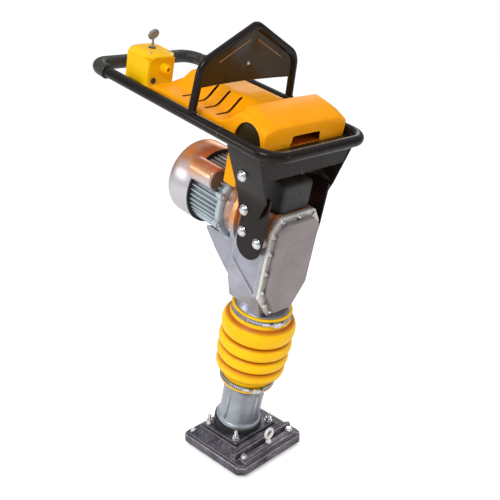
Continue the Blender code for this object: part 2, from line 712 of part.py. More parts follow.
def make_guard_panel(body):
    """The sheet that fills the upper part of the hoop."""
    low = 0.988
    edge = HOOP_RADIUS + 0.0015
    outline = [(p.x, p.z) for p in hoop_path(edge) if p.z > low + 0.01]
    outline = [(outline[0][0], low)] + outline + [(outline[-1][0], low)]
    body.add("guard_panel", prism(outline, "y", HOOP_Y - 0.0015, HOOP_Y + 0.0015), "black")


def cover_rings(bm, inset):
    """The skin's arches over each section, moved inwards by inset, from the right rim to the left rim."""
    rings = []
    half = COVER_HALF - inset
    shoulder = 0.0075 - inset
    for y, edge, crown, blockness in COVER_SECTIONS:
        y = min(max(y, COVER_FRONT + inset), COVER_REAR - inset)
        top = edge - inset
        points = [(half, COVER_BOTTOM)] + arc((half - shoulder, top - shoulder), shoulder, 0, 90, 3)
        for x in (0.111, 0.090, 0.071, 0.053, 0.035, 0.0, -0.035, -0.053, -0.071, -0.090, -0.111):
            bow = 0.0012 * (1 - (x / COVER_HALF) ** 2)
            points.append((x, top + crown * cover_rise(x, blockness) + bow))
        points += [(-x, z) for x, z in reversed(points[:5])]
        rings.append([bm.verts.new((x, y, z)) for x, z in points])
    for a, b in zip(rings, rings[1:]):
        for i in range(len(a) - 1):
            bm.faces.new((a[i], a[i + 1], b[i + 1], b[i]))
    bm.faces.new(rings[0])
    bm.faces.new(rings[-1])
    return [ring[0] for ring in rings] + [ring[-1] for ring in reversed(rings)]


def cover_shell():
    """The sheet cover, open below: two skins joined round the lower rim."""
    bm = bmesh.new()
    outer = cover_rings(bm, 0.0)
    inner = cover_rings(bm, COVER_WALL)
    for i in range(len(outer)):
        j = (i + 1) % len(outer)
        bm.faces.new((outer[i], outer[j], inner[j], inner[i]))
    bmesh.ops.triangulate(bm, faces=bm.faces)
    return bm


def arch_outline(grow, low):
    """(y, z) of the arch in the cover's sides."""
    middle, half, rise = 0.028, 0.041 + grow, 0.048 + grow
    outline = [(middle - half, low), (middle + half, low)]
    for i in range(13):
        turn = math.pi * i / 12
        outline.append((middle + half * math.cos(turn), 0.915 + rise * math.sin(turn)))
    return outline


def make_cover(body):
    cover = body.add("top_cover", cover_shell(), "yellow", 30)
    boolean(cover, body, prism(arch_outline(0, 0.90), "x", -0.2, -0.100))
    boolean(cover, body, prism(arch_outline(0, 0.90), "x", 0.100, 0.2))
    notch = [(-0.056, 0.90), (0.056, 0.90), (0.046, 0.940), (-0.046, 0.940)]
    boolean(cover, body, prism(notch, "y", -0.05, 0.0))
    for i in range(4):
        y = 0.148 + 0.040 * i
        boolean(cover, body, block((-0.120, y, 0.920), (-0.045, y + 0.007, 1.02)))


def make_cover_liner(body):
    """A sheet tray that closes the cover from below, with a side behind each arch."""
    top = COVER_BOTTOM - GAP
    reach = COVER_HALF - COVER_WALL - 0.0013
    side = arch_outline(0.003, top - 0.001)
    liner = body.add("cover_liner", block((-0.1395, -0.0355, top - 0.002), (0.1395, 0.2995, top)), "black")
    boolean(liner, body, prism(side, "x", reach - 0.002, reach), "UNION")
    boolean(liner, body, prism(side, "x", -reach, 0.002 - reach), "UNION")


def make_crossbar(body):
    reach = RAIL_X - RAIL_RADIUS - 0.0006
    bm = block((-reach, 0.300, COVER_BOTTOM - 0.006), (reach, 0.328, COVER_BOTTOM - GAP))
    body.add("cover_crossbar", bm, "black")


def box_outline(half_x, half_y, cut):
    right = [(half_x - cut, -half_y), (half_x, -half_y + cut), (half_x, half_y - cut), (half_x - cut, half_y)]
    left = [(-x, y) for x, y in reversed(right)]
    return [(BOX_X + x, BOX_Y + y) for x, y in right + left]


def make_switch_box(body):
    half_x, half_y = 0.043, 0.044
    body.add("switch_box", prism(box_outline(half_x, half_y, 0.008), "z", BOX_BOTTOM, BOX_TOP), "yellow")
    lid = prism(box_outline(half_x + 0.004, half_y + 0.004, 0.018), "z", BOX_TOP + GAP, BOX_TOP + 0.007)
    lid.faces.ensure_lookup_table()
    top = max(lid.faces, key=lambda face: face.calc_center_median().z)
    raised = bmesh.ops.extrude_face_region(lid, geom=[top])["geom"]
    bmesh.ops.delete(lid, geom=[top], context="FACES_ONLY")
    for vert in (item for item in raised if isinstance(item, bmesh.types.BMVert)):
        vert.co.x = BOX_X + (vert.co.x - BOX_X) * 0.72
        vert.co.y = BOX_Y + (vert.co.y - BOX_Y) * 0.72
        vert.co.z += 0.008
    body.add("switch_lid", lid, "yellow")
    rail_side, box_side = -RAIL_X + RAIL_RADIUS + 0.0006, BOX_X - half_x - GAP
    bracket = block((rail_side, BOX_Y - 0.025, 0.914), (box_side, BOX_Y + 0.025, 0.920))
    body.add("switch_bracket", bracket, "black")
    wall = BOX_Y - half_y - GAP
    gland = [(0.0045, 0), (0.0045, -0.020), (0.009, -0.020), (0.010, -0.010), (0.013, -0.009), (0.013, 0)]
    body.add("cable_gland", turned(gland, (BOX_X + 0.006, wall, 0.960), "y", 16), "rubber")


def make_switch_knob(body):
    seat = BOX_TOP + 0.015 + GAP
    stem = turned([(0, 0), (0.006, 0), (0.006, 0.004), (0.0028, 0.006), (0.0028, 0.028), (0, 0.028)],
                  (BOX_X, BOX_Y, seat), steps=12)
    knob = body.add("switch_knob", stem, "knob")
    edge = [(0, -0.004), (0.012, -0.004), (0.0145, -0.002), (0.0145, 0.002), (0.012, 0.004), (0, 0.004)]
    disc = turned(edge, (0, 0, 0), "y", 20)
    place = Matrix.Translation((BOX_X, BOX_Y, seat + 0.036)) @ Matrix.Rotation(math.radians(24), 4, "X")
    bmesh.ops.transform(disc, verts=disc.verts, matrix=place)
    boolean(knob, body, disc, "UNION")


def build_foot():
    foot = Body("foot_origin", (0, 0, 0))
    make_sole(foot)
    make_shoe_block(foot)
    make_platform(foot)
    make_toe_strap(foot)
    make_studs(foot)


def build_machine():
    machine = Body("machine_axes", (0, 0, 0))
    machine.empty.location = (0, AXIS_Y, 0)
    machine.empty.rotation_euler = (LEAN, 0, 0)

    ram = Body("ram_axis", (0, 0, 0), machine)
    make_leg(ram)
    make_spring_cylinder(ram)
    make_spring(ram, "lower_spring", 0.101, 0.251)
    make_spring(ram, "upper_spring", 0.277, 0.444)
    make_bellows(ram)
    make_clamp(ram, "lower_clamp", 0.0735, LOWER_CLAMP_Z)
    make_piston(Body("piston_axis", (0, 0, 0.263), ram))

    upper = Body("crankcase_axis", (0, 0, UPPER_CLAMP_Z), machine)
    make_crankcase(upper)
    make_front_cover(upper)
    make_clamp(upper, "upper_clamp", 0.0775, UPPER_CLAMP_Z)
    make_gear_housing(upper)
    make_motor(upper)
    make_capacitor_cover(upper)
    make_terminal_box(upper)
    make_lower_plates(upper)
    make_shock_block(upper)

    make_rotor(Body("rotor_axis", (0, 0.1, MOTOR_Z), upper))
    crank = Body("crank_axis", (0, 0.04, CRANK_Z), upper)
    make_crank(crank)
    make_connecting_rod(Body("crank_pin_axis", (0, 0.015, CRANK_Z + CRANK_THROW), crank))

    handle = Body("handle_pivot", (0, PIVOT_Y, PIVOT_Z), upper)
    make_upper_plates(handle)
    make_cross_tube(handle)
    make_front_brace(handle)
    make_handle_frame(handle)
    make_grip(handle)
    make_hoop(handle)
    make_guard_panel(handle)
    make_cover(handle)
    make_cover_liner(handle)
    make_crossbar(handle)
    make_switch_box(handle)
    make_switch_knob(Body("knob_axis", (BOX_X, BOX_Y, BOX_TOP), handle))


clear_scene()
build_foot()
build_machine()
bpy.context.view_layer.update()
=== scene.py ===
"""The looks of a tamping rammer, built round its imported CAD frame.

Most pieces are made in machine axes: X to the side, Y to the rear, Z up along the leg, with the origin where
the leg's axis meets the ground.  The foot is made in the frame's own axes.  Units are metres.
"""
import json
import math
from math import cos, pi, radians, sin

import bmesh
import bpy
from mathutils import Matrix, Vector


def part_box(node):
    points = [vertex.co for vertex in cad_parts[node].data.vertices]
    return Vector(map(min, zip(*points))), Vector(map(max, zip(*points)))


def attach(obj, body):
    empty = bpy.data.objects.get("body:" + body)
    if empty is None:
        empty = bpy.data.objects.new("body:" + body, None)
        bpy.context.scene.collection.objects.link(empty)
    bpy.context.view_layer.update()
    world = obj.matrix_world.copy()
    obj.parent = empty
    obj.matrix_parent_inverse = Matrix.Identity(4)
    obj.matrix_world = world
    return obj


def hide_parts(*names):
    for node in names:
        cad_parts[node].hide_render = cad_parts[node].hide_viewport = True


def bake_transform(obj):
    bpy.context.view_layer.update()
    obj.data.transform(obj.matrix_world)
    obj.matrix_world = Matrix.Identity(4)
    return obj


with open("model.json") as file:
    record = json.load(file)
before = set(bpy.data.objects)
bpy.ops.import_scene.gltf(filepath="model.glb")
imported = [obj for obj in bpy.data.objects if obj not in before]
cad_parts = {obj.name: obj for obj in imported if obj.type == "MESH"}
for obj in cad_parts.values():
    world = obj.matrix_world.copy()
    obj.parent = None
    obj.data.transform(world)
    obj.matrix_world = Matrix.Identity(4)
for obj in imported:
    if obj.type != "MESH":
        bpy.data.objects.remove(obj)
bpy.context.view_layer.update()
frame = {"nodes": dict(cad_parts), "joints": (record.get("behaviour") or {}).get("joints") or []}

JOINTS = {joint["name"]: joint for joint in frame["joints"]}

# The machine axes, from the joints
UP = Vector(JOINTS["leg_stroke"]["axis"]).normalized()
REAR = Vector(JOINTS["crank_turn"]["axis"]).normalized()
CRANK_BEHIND = 0.040
ON_LEG = Vector(JOINTS["crank_turn"]["pos_m"]) - REAR * CRANK_BEHIND
MACHINE = Matrix((Vector((1, 0, 0)), REAR, UP)).transposed().to_4x4()
MACHINE.translation = ON_LEG - UP * (ON_LEG.z / UP.z)
WORLD = Matrix.Identity(4)
SIDES = (("left", 1), ("right", -1))


def span(node):
    """The lowest and highest corner of a CAD node in machine axes."""
    back = MACHINE.inverted()
    points = [back @ v.co for v in frame["nodes"][node].data.vertices]
    return [Vector([pick(p[i] for p in points) for i in range(3)]) for pick in (min, max)]


def middle(low, high):
    """The point midway between two corners."""
    return [(a + b) / 2 for a, b in zip(low, high)]


def at(x, y, z):
    return Matrix.Translation((x, y, z))


def turn(degrees, axis):
    """A turn about a world axis, named by a capital letter."""
    return Matrix.Rotation(radians(degrees), 4, axis)


def clamped(value):
    """The value, or 0 or 1 if it lies outside them."""
    return min(max(value, 0), 1)


# Camera

def make_camera():
    azimuth, elevation, roll = (radians(a) for a in (-46.9, 22.0, 2.6))
    target, distance = Vector((-0.003, 0.004, 0.587)), 1.928
    back = Vector((sin(azimuth) * cos(elevation), -cos(azimuth) * cos(elevation),
                   sin(elevation)))
    right = Vector((cos(azimuth), sin(azimuth), 0))
    side = cos(roll) * right + sin(roll) * back.cross(right)
    data = bpy.data.cameras.new("camera")
    data.sensor_width, data.lens, data.clip_start = 36, 54.7, 0.05
    camera = bpy.data.objects.new("camera", data)
    bpy.context.scene.collection.objects.link(camera)
    place = Matrix((side, back.cross(side), back)).transposed().to_4x4()
    place.translation = target + back * distance
    camera.matrix_world = place
    bpy.context.scene.camera = camera


# Materials

# The cover's orange, painted on silver parts below the cover as a painted reflection of it
COVER_REFLECTION_ORANGE = (0.86, 0.29, 0.004)

# Places of a Mix node's colour sockets
COLOUR_A, COLOUR_B, COLOUR_OUT = 6, 7, 2


def add_node(tree, kind, inputs=None, **settings):
    """A shader node with these settings, each input given a value or linked from another node's output."""
    node = tree.nodes.new("ShaderNode" + kind)
    for name, value in settings.items():
        setattr(node, name, value)
    for slot, value in (inputs or {}).items():
        if isinstance(value, bpy.types.NodeSocket):
            tree.links.new(value, node.inputs[slot])
        else:
            node.inputs[slot].default_value = value
    return node


class Look:
    """A material with its node tree, and short ways to add nodes to it.

    A noise is given as (scale, detail, roughness, stretch), and its last numbers may be left out.
    """

    def __init__(self, name, roughness, metallic=0.0, coat=0.0, coat_roughness=0.1, specular=0.5):
        self.material = bpy.data.materials.new(name)
        self.material.use_nodes = True
        self.tree = self.material.node_tree
        self.shader = self.tree.nodes["Principled BSDF"]
        for slot, value in (("Metallic", metallic), ("Roughness", roughness), ("Coat Weight", coat),
                            ("Coat Roughness", coat_roughness), ("Specular IOR Level", specular)):
            self.shader.inputs[slot].default_value = value
        self.place = self.node("TexCoord").outputs["Object"]
        self.height = None

    def node(self, kind, inputs=None, **settings):
        return add_node(self.tree, kind, inputs, **settings)

    def shade(self, slot, source):
        self.tree.links.new(source, self.shader.inputs[slot])

    def noise(self, scale, detail=3.0, roughness=0.55, stretch=None):
        source = self.place
        if stretch:
            source = self.node("Mapping", {"Scale": stretch, "Vector": self.place}).outputs["Vector"]
        return self.node("TexNoise", {"Scale": scale, "Detail": detail, "Roughness": roughness,
                                      "Vector": source}).outputs["Fac"]

    def ramp(self, source, *stops):
        """Maps a number to colours or greys, each stop being (position, colour or grey)."""
        node = self.node("ValToRGB", {"Fac": source})
        ramp = node.color_ramp
        while len(ramp.elements) < len(stops):
            ramp.elements.new(0.5)
        for element, (position, value) in zip(ramp.elements, stops):
            element.position = position
            element.color = (*value, 1) if isinstance(value, tuple) else (value, value, value, 1)
        return node.outputs["Color"]

    def times(self, a, b):
        return self.node("Math", {0: a, 1: b}, operation="MULTIPLY").outputs[0]

    def mix(self, share, low, high, blend="MIX"):
        """A mix of two colours, each a colour or another node's output."""
        low, high = ((*value, 1) if isinstance(value, tuple) else value for value in (low, high))
        sockets = {"Factor": share, COLOUR_A: low, COLOUR_B: high}
        return self.node("Mix", sockets, data_type="RGBA", blend_type=blend).outputs[COLOUR_OUT]

    def patches(self, noise, start, end, low, high):
        """One colour where a noise is under start, and another where it is over end."""
        return self.mix(self.ramp(self.noise(*noise), (start, 0.0), (end, 1.0)), low, high)

    def colour(self, source):
        self.shade("Base Color", source)

    def rough(self, noise, *stops):
        self.shade("Roughness", self.ramp(self.noise(*noise), *stops))

    def bump(self, depth, noise):
        """Adds a bump of that depth in metres over any earlier one."""
        inputs = {"Distance": depth, "Height": self.noise(*noise)}
        if self.height:
            inputs["Normal"] = self.height
        self.height = self.node("Bump", inputs).outputs["Normal"]
        self.shade("Normal", self.height)

    def edges(self, radius, low=0.02, high=0.14):
        """A mask that is white along sharp edges: for paint and metal worn there, and on the yellow paint for
        a painted highlight.
        """
        rounded_off = self.node("Bevel", {"Radius": radius}, samples=4).outputs["Normal"]
        flat = self.node("NewGeometry").outputs["Normal"]
        dot = self.node("VectorMath", {0: rounded_off, 1: flat}, operation="DOT_PRODUCT").outputs["Value"]
        turned_away = self.node("Math", {0: 1.0, 1: dot}, operation="SUBTRACT").outputs[0]
        return self.ramp(turned_away, (low, 0.0), (high, 1.0))

    def crevice_shade(self, distance):
        """A mask of painted shade from ambient occlusion, black in corners and crevices."""
        return self.node("AmbientOcclusion", {"Distance": distance}, samples=6).outputs["AO"]

    def with_cover_reflection(self, shade, low, high, share):
        """The colour under a painted reflection of the orange cover, in streaks: none at the low height, all
        its share at high.
        """
        height = self.node("SeparateXYZ", {0: self.place}).outputs["Z"]
        rise = self.node("MapRange", {"From Min": low, "From Max": high, "Value": height},
                         interpolation_type="SMOOTHSTEP").outputs["Result"]
        streaks = self.ramp(self.noise(18, 4, 0.6, (2.2, 2.2, 0.5)), (0.34, 0.25), (0.58, 1.0))
        return self.mix(self.times(self.times(rise, streaks), share), shade, COVER_REFLECTION_ORANGE)


def paint_look(name, dark, light, roughness, coat, peel, metallic=0.0, specular=0.16, rim=None, dusty=0.18,
               cover_reflection=None):
    """Sprayed paint: a slow change of shade, dust, the lacquer's orange peel, perhaps a painted reflection of
    the orange cover, and perhaps a painted highlight along edges.
    """
    look = Look(name, roughness, metallic, coat, 0.08, specular)
    shade = look.patches((9, 4), 0.35, 0.7, dark, light)
    # A painted reflection of the orange cover, in streaks, growing with height
    if cover_reflection:
        shade = look.with_cover_reflection(shade, *cover_reflection)
    # On the yellow paint, the rim colour along edges is a painted highlight
    if rim:
        shade = look.mix(look.edges(0.0026, 0.008, 0.10), shade, rim)
    look.colour(shade)
    look.rough((60, 5, 0.7), (0.45, roughness), (0.75, roughness + dusty))
    look.bump(peel, (420, 2))
    return look


def black_paint():
    """Gloss black paint with brown dust on it, chipped along its edges."""
    look = Look("black_paint", 0.22, 0.0, 0.10, 0.07, 0.17)
    shade = look.patches((7, 4), 0.3, 0.75, (0.005, 0.0035, 0.003), (0.015, 0.0095, 0.0075))
    dust = look.ramp(look.noise(90, 6, 0.75), (0.64, 0.0), (0.82, 0.14))
    shade = look.mix(dust, shade, (0.09, 0.07, 0.055))
    chips = look.ramp(look.noise(38, 5, 0.7), (0.56, 0.0), (0.62, 1.0))
    worn = look.times(look.edges(0.0016, 0.03, 0.2), chips)
    look.colour(look.mix(worn, shade, (0.30, 0.27, 0.25)))
    look.rough((30, 5, 0.65), (0.35, 0.18), (0.75, 0.36))
    look.bump(0.00006, (380, 2))
    return look


def casting_look(name, dark, light, rim, roughness, metallic, cover_reflection=None):
    """Cast aluminium under thin grey paint: a grained skin with painted shade in its corners, brighter on
    edges, and perhaps a painted reflection of the orange cover.
    """
    look = Look(name, roughness, metallic, 0.15, 0.25)
    shade = look.patches((14, 5, 0.6), 0.3, 0.7, dark, light)
    # A painted reflection of the orange cover, in streaks, growing with height
    if cover_reflection:
        shade = look.with_cover_reflection(shade, *cover_reflection)
    # Painted shade: ambient occlusion darkens the colour in corners and crevices
    painted_crevice_shade = look.ramp(look.crevice_shade(0.012), (0.25, (0.35, 0.33, 0.33)), (0.85, (1.0, 1.0, 1.0)))
    darkened_in_crevices = look.mix(1.0, shade, painted_crevice_shade, "MULTIPLY")
    look.colour(look.mix(look.edges(0.0018), darkened_in_crevices, rim))
    look.rough((55, 5, 0.7), (0.3, roughness - 0.10), (0.75, roughness + 0.14))
    look.bump(0.00008, (520, 4, 0.65))
    look.bump(0.00015, (30, 2))
    return look


def steel_look(name, colour, roughness=0.24, streaks=(1, 1, 1)):
    """Plated steel: fine streaks, and stains in the roughness."""
    look = Look(name, roughness, 1.0)
    dull = tuple(0.62 * c for c in colour)
    look.colour(look.patches((70, 5, 0.7), 0.35, 0.72, colour, dull))
    look.rough((160, 4, 0.7), (0.3, roughness - 0.07), (0.8, roughness + 0.2))
    look.bump(0.00005, (500, 3, 0.6, streaks))
    return look


def foot_look():
    """Dark cast iron that has been dragged over stone: scratches, scuffs and bright worn edges."""
    look = Look("worn_iron", 0.40, 0.75)
    shade = look.patches((16, 6, 0.65), 0.36, 0.66, (0.035, 0.032, 0.042), (0.19, 0.175, 0.21))
    shade = look.patches((30, 6, 0.75, (1.0, 9.0, 6.0)), 0.53, 0.66, shade, (0.34, 0.31, 0.36))
    dirt = look.ramp(look.noise(48, 5, 0.7), (0.60, 0.0), (0.72, 0.85))
    shade = look.mix(dirt, shade, (0.055, 0.045, 0.045))
    look.colour(look.mix(look.edges(0.0030, 0.015, 0.10), shade, (0.60, 0.56, 0.62)))
    look.rough((42, 6, 0.7), (0.3, 0.26), (0.72, 0.58))
    look.bump(0.00035, (260, 5, 0.7))
    look.bump(0.0012, (45, 4))
    return look


def bellows_look():
    """Yellow rubber, with painted orange-brown shade where the piece's depth attribute says that a valley is.
    """
    look = Look("yellow_rubber", 0.34, 0.0, 0.05, 0.25, 0.18)
    depth = look.node("Attribute", attribute_name="depth").outputs["Fac"]
    valley_shade = look.ramp(depth, (0.04, 0.0), (0.32, 0.55), (0.75, 1.0))
    ragged_valley_shade = look.times(valley_shade, look.ramp(look.noise(22, 4), (0.25, 0.82), (0.7, 1.0)))
    yellow_without_shade = look.patches((12, 3), 0.35, 0.7, (0.96, 0.51, 0.0008), (0.99, 0.59, 0.0012))
    look.colour(look.mix(ragged_valley_shade, yellow_without_shade, (0.46, 0.085, 0.001)))
    look.rough((85, 5, 0.7), (0.3, 0.28), (0.75, 0.48))
    look.bump(0.00010, (300, 4, 0.6))
    return look


def rubber_look(name, dark, light, roughness):
    """Rubber or plastic with a fine grain."""
    look = Look(name, roughness)
    look.colour(look.patches((40, 5, 0.7), 0.35, 0.75, dark, light))
    look.rough((110, 4, 0.7), (0.3, roughness - 0.12), (0.75, roughness + 0.1))
    look.bump(0.00012, (600, 3, 0.6))
    return look


make_camera()
BLACK = black_paint()
# The yellow's rim colour is a painted highlight along its sharp edges
YELLOW = paint_look("yellow_paint", (0.93, 0.335, 0.0006), (0.97, 0.395, 0.0010), 0.34, 0.03, 0.00004,
                    specular=0.09, rim=(1.0, 0.55, 0.04))
TRAY = paint_look("tray_paint", (0.70, 0.20, 0.002), (0.86, 0.28, 0.003), 0.35, 0.1, 0.00004)
BOX_YELLOW = paint_look("box_yellow", (0.95, 0.52, 0.001), (0.98, 0.60, 0.002), 0.34, 0.06, 0.00004)
# The cover's orange, darkened and reddened: painted shade for the cover's inside and the lining under the
# notch
INSIDE_PAINTED_SHADE = paint_look("cover_inside_painted_shade", (0.38, 0.06, 0.002), (0.50, 0.09, 0.004), 0.45, 0.1, 0.00005)
PANEL = paint_look("panel_paint", (0.026, 0.016, 0.005), (0.052, 0.034, 0.011), 0.22, 0.12, 0.00003)
# The crankcase's top carries a painted reflection of the orange cover
CASTING = casting_look("grey_casting", (0.30, 0.305, 0.36), (0.42, 0.425, 0.49), (0.82, 0.80, 0.78), 0.33,
                       0.62, cover_reflection=(0.650, 0.700, 0.85))
COVER_FACE = casting_look("cover_face", (0.22, 0.185, 0.19), (0.30, 0.255, 0.26), (0.55, 0.50, 0.48), 0.36,
                          0.3)
COVER_RIM = casting_look("cover_rim", (0.55, 0.53, 0.50), (0.72, 0.70, 0.66), (0.92, 0.90, 0.84), 0.34, 0.45)
LEG_SKIN = casting_look("leg_casting", (0.30, 0.33, 0.37), (0.46, 0.50, 0.56), (0.95, 0.95, 0.97), 0.34, 0.72)
ZINC = casting_look("bright_zinc", (0.66, 0.66, 0.64), (0.86, 0.86, 0.84), (0.98, 0.98, 0.96), 0.30, 0.30)
MOTOR_SKIN = casting_look("motor_silver", (0.36, 0.43, 0.47), (0.47, 0.55, 0.59), (0.74, 0.80, 0.84), 0.38,
                          0.35)
# The tops of the cowl and the capacitor carry a painted reflection of the orange cover
COWL_SKIN = paint_look("cowl_silver", (0.56, 0.53, 0.56), (0.64, 0.61, 0.64), 0.33, 0.0, 0.00001, 0.75, 0.4,
                       dusty=0.04, cover_reflection=(0.760, 0.805, 0.75))
# Copper for the capacitor's end, and a painted reflection of the orange cover on the guard panel's beads
COPPER_AND_PAINTED_REFLECTION = paint_look("copper_end_and_painted_reflection", (0.24, 0.13, 0.07), (0.32, 0.18, 0.10), 0.30, 0.3, 0.00004, 0.6)
STEEL = steel_look("plated_steel", (0.80, 0.80, 0.82))
BAND = steel_look("clamp_band", (0.30, 0.30, 0.33), 0.26, (1, 1, 0.1))
IRON = foot_look()
BELLOWS = bellows_look()
GRIP = rubber_look("grip_rubber", (0.010, 0.010, 0.010), (0.040, 0.038, 0.036), 0.46)
RUBBER = rubber_look("black_rubber", (0.012, 0.012, 0.013), (0.035, 0.034, 0.036), 0.55)
GREY_PLASTIC = rubber_look("grey_plastic", (0.17, 0.16, 0.15), (0.34, 0.33, 0.31), 0.38)
# Black rubber, also used for a painted shadow in the gap under the cowl's rim
GASKET_AND_GAP_SHADOW = rubber_look("gasket", (0.008, 0.008, 0.008), (0.02, 0.02, 0.02), 0.6)


# Shapes

AIM = {"z": Matrix.Identity(4), "y": turn(-90, "X"), "-y": turn(90, "X"), "x": turn(90, "Y")}


def block(low, high):
    bm = bmesh.new()
    size = Vector(high) - Vector(low)
    place = Matrix.Translation((Vector(high) + Vector(low)) / 2)
    bmesh.ops.create_cube(bm, size=1.0, matrix=place @ Matrix.Diagonal((*size, 1.0)))
    return bm


def bridge(bm, loops, closed=False):
    """Quads between each loop of points and the next, and a face on each end unless closed."""
    for a, b in zip(loops, loops[1:] + (loops[:1] if closed else [])):
        for i in range(len(a)):
            j = (i + 1) % len(a)
            bm.faces.new((a[i], a[j], b[j], b[i]))
    if not closed:
        bm.faces.new(loops[0])
        bm.faces.new(loops[-1])
    return bm


def prism(outline, axis, low, high):
    """An outline extruded along X, Y or Z, its two numbers being the other two axes, in that order."""
    bm = bmesh.new()
    n = "xyz".index(axis)
    return bridge(bm, [[bm.verts.new((*p[:n], along, *p[n:])) for p in outline] for along in (low, high)])


def loft(levels):
    """A closed solid through level outlines of equal length, each given as (z, points)."""
    bm = bmesh.new()
    return bridge(bm, [[bm.verts.new((p[0], p[1], z)) for p in points] for z, points in levels])


def round_angles(steps):
    return [2 * pi * i / steps for i in range(steps)]


def turned(profile, centre=(0, 0, 0), axis="z", steps=72):
    """A closed profile of (radius, height) turned about an axis through centre."""
    bm = bmesh.new()
    rings = []
    for radius, height in profile:
        angles = round_angles(steps) if radius else [0]
        rings.append([bm.verts.new((radius * cos(t), radius * sin(t), height)) for t in angles])
    for a, b in zip(rings, rings[1:] + rings[:1]):
        for i in range(steps):
            j = (i + 1) % steps
            corners = []
            for v in (a[i % len(a)], a[j % len(a)], b[j % len(b)], b[i % len(b)]):
                if v not in corners:
                    corners.append(v)
            if len(corners) > 2:
                bm.faces.new(corners)
    return moved(bm, Matrix.Translation(centre) @ AIM[axis])


def rod(radius, low, high, centre=(0, 0, 0), axis="z", steps=32):
    return turned([(0, low), (radius, low), (radius, high), (0, high)], centre, axis, steps)


def ring(inner, outer, low, high, centre=(0, 0, 0), axis="z", steps=72):
    return turned([(inner, low), (outer, low), (outer, high), (inner, high)], centre, axis, steps)


def polar(centre, radius, degrees):
    angle = radians(degrees)
    return centre[0] + radius * cos(angle), centre[1] + radius * sin(angle)


def arc(centre, radius, start, stop, steps):
    """Points on an arc, with angles in degrees."""
    return [polar(centre, radius, start + (stop - start) * i / steps) for i in range(steps + 1)]


def rounded(corners, radii, steps=8, closed=True):
    """A polyline with each corner replaced by an arc of its own radius, or of one radius for all."""
    if not isinstance(radii, list):
        radii = [radii] * len(corners)
    points = []
    count = len(corners)
    for i, (corner, radius) in enumerate(zip(corners, radii)):
        here = Vector(corner)
        if radius == 0 or (not closed and i in (0, count - 1)):
            points.append(here)
            continue
        before = (Vector(corners[i - 1]) - here).normalized()
        after = (Vector(corners[(i + 1) % count]) - here).normalized()
        half = before.angle(after) / 2
        centre = here + (before + after).normalized() * radius / sin(half)
        start = here + before * radius / math.tan(half) - centre
        stop = here + after * radius / math.tan(half) - centre
        points += [centre + start.slerp(stop, k / steps).normalized() * radius for k in range(steps + 1)]
    return points


def resampled(path, step, closed=False):
    """The same path with points no further apart than step."""
    ends = path + path[:1] if closed else path
    points = []
    for a, b in zip(ends, ends[1:]):
        count = max(1, math.ceil((b - a).length / step))
        points += [a.lerp(b, k / count) for k in range(count)]
    return points if closed else points + [path[-1]]


def sweep(path, radius, closed=False, steps=28):
    """A round bar along a flat path.  The radius may be a function of the distance along it."""
    bm = bmesh.new()
    normal = Vector((0, 0, 0))
    for a, b, c in zip(path, path[1:], path[2:]):
        normal += (b - a).cross(c - b)
    normal = normal.normalized() if normal.length > 1e-9 else Vector((0, 0, 1))
    loops = []
    travelled = 0.0
    for i, point in enumerate(path):
        before = path[i - 1] if i or closed else path[0]
        after = path[(i + 1) % len(path)] if i < len(path) - 1 or closed else path[-1]
        forward = ((point - before).normalized() + (after - point).normalized()).normalized()
        side = normal.cross(forward)
        travelled += (point - path[i - 1]).length if i else 0.0
        size = radius(travelled) if callable(radius) else radius
        loops.append([bm.verts.new(point + size * (cos(t) * side + sin(t) * normal))
                      for t in round_angles(steps)])
    return bridge(bm, loops, closed)


def weld(centre, normal, radius, thick=0.0022, steps=72):
    """A rippled weld bead round a tube."""
    normal = Vector(normal).normalized()
    across = normal.orthogonal().normalized()
    third = normal.cross(across)
    bm = bmesh.new()
    loops = []
    for i, angle in enumerate(round_angles(steps)):
        out = cos(angle) * across + sin(angle) * third
        size = thick * (1 + 0.16 * sin(i * 1.9) + 0.08 * sin(i * 0.7))
        bead = Vector(centre) + out * radius
        loops.append([bm.verts.new(bead + size * (cos(t) * out + sin(t) * normal))
                      for t in round_angles(8)])
    return bridge(bm, loops, closed=True)


def moved(bm, matrix):
    bmesh.ops.transform(bm, verts=bm.verts, matrix=matrix)
    return bm


def softened(bm, width, segments):
    bmesh.ops.bevel(bm, geom=bm.edges, offset=width, segments=segments, affect="EDGES", profile=0.5)
    return bm


def joined(shapes):
    """The bmeshes as one, in that order."""
    whole = bmesh.new()
    for bm in shapes:
        mesh = bpy.data.meshes.new("part")
        bm.to_mesh(mesh)
        bm.free()
        whole.from_mesh(mesh)
        bpy.data.meshes.remove(mesh)
    return whole


def bisected(bm, normal, heights):
    """Cuts new edges across a sheet at these distances along a normal, so that the sheet can bend there."""
    for height in heights:
        bmesh.ops.bisect_plane(bm, geom=bm.verts[:] + bm.edges[:] + bm.faces[:],
                               plane_co=Vector(normal) * height, plane_no=normal)


def dome_profile(radius, height, steps=8):
    """A domed head's profile above its rim, up to its top."""
    angles = [radians(90 * k / steps) for k in range(1, steps)]
    return [(radius * cos(a), height * sin(a)) for a in angles] + [(0, height)]


# Screws and bolts, each pointing up Z before place moves it

def screw_head(radius, height, place, sunk=0.001, rim=0.0004, steps=20):
    """A domed head, its foot sunk below the surface."""
    profile = [(0, -sunk), (radius, -sunk), (radius, rim)] + dome_profile(radius - 0.0002, height)
    return moved(turned(profile, steps=steps), place)


def hex_head(radius, height, place, washer=0.0):
    """A hexagon head, perhaps on a washer."""
    outline = arc((0, 0), radius, 0, 300, 5)
    chamfer = [(0.90 * x, 0.90 * y) for x, y in outline]
    parts = [loft([(0, outline), (height * 0.86, outline), (height, chamfer)])]
    if washer:
        profile = [(0, -0.0015), (washer, -0.0015), (washer, -0.0003), (washer * 0.96, 0), (0, 0)]
        parts.append(turned(profile, steps=32))
    return moved(joined(parts), place)


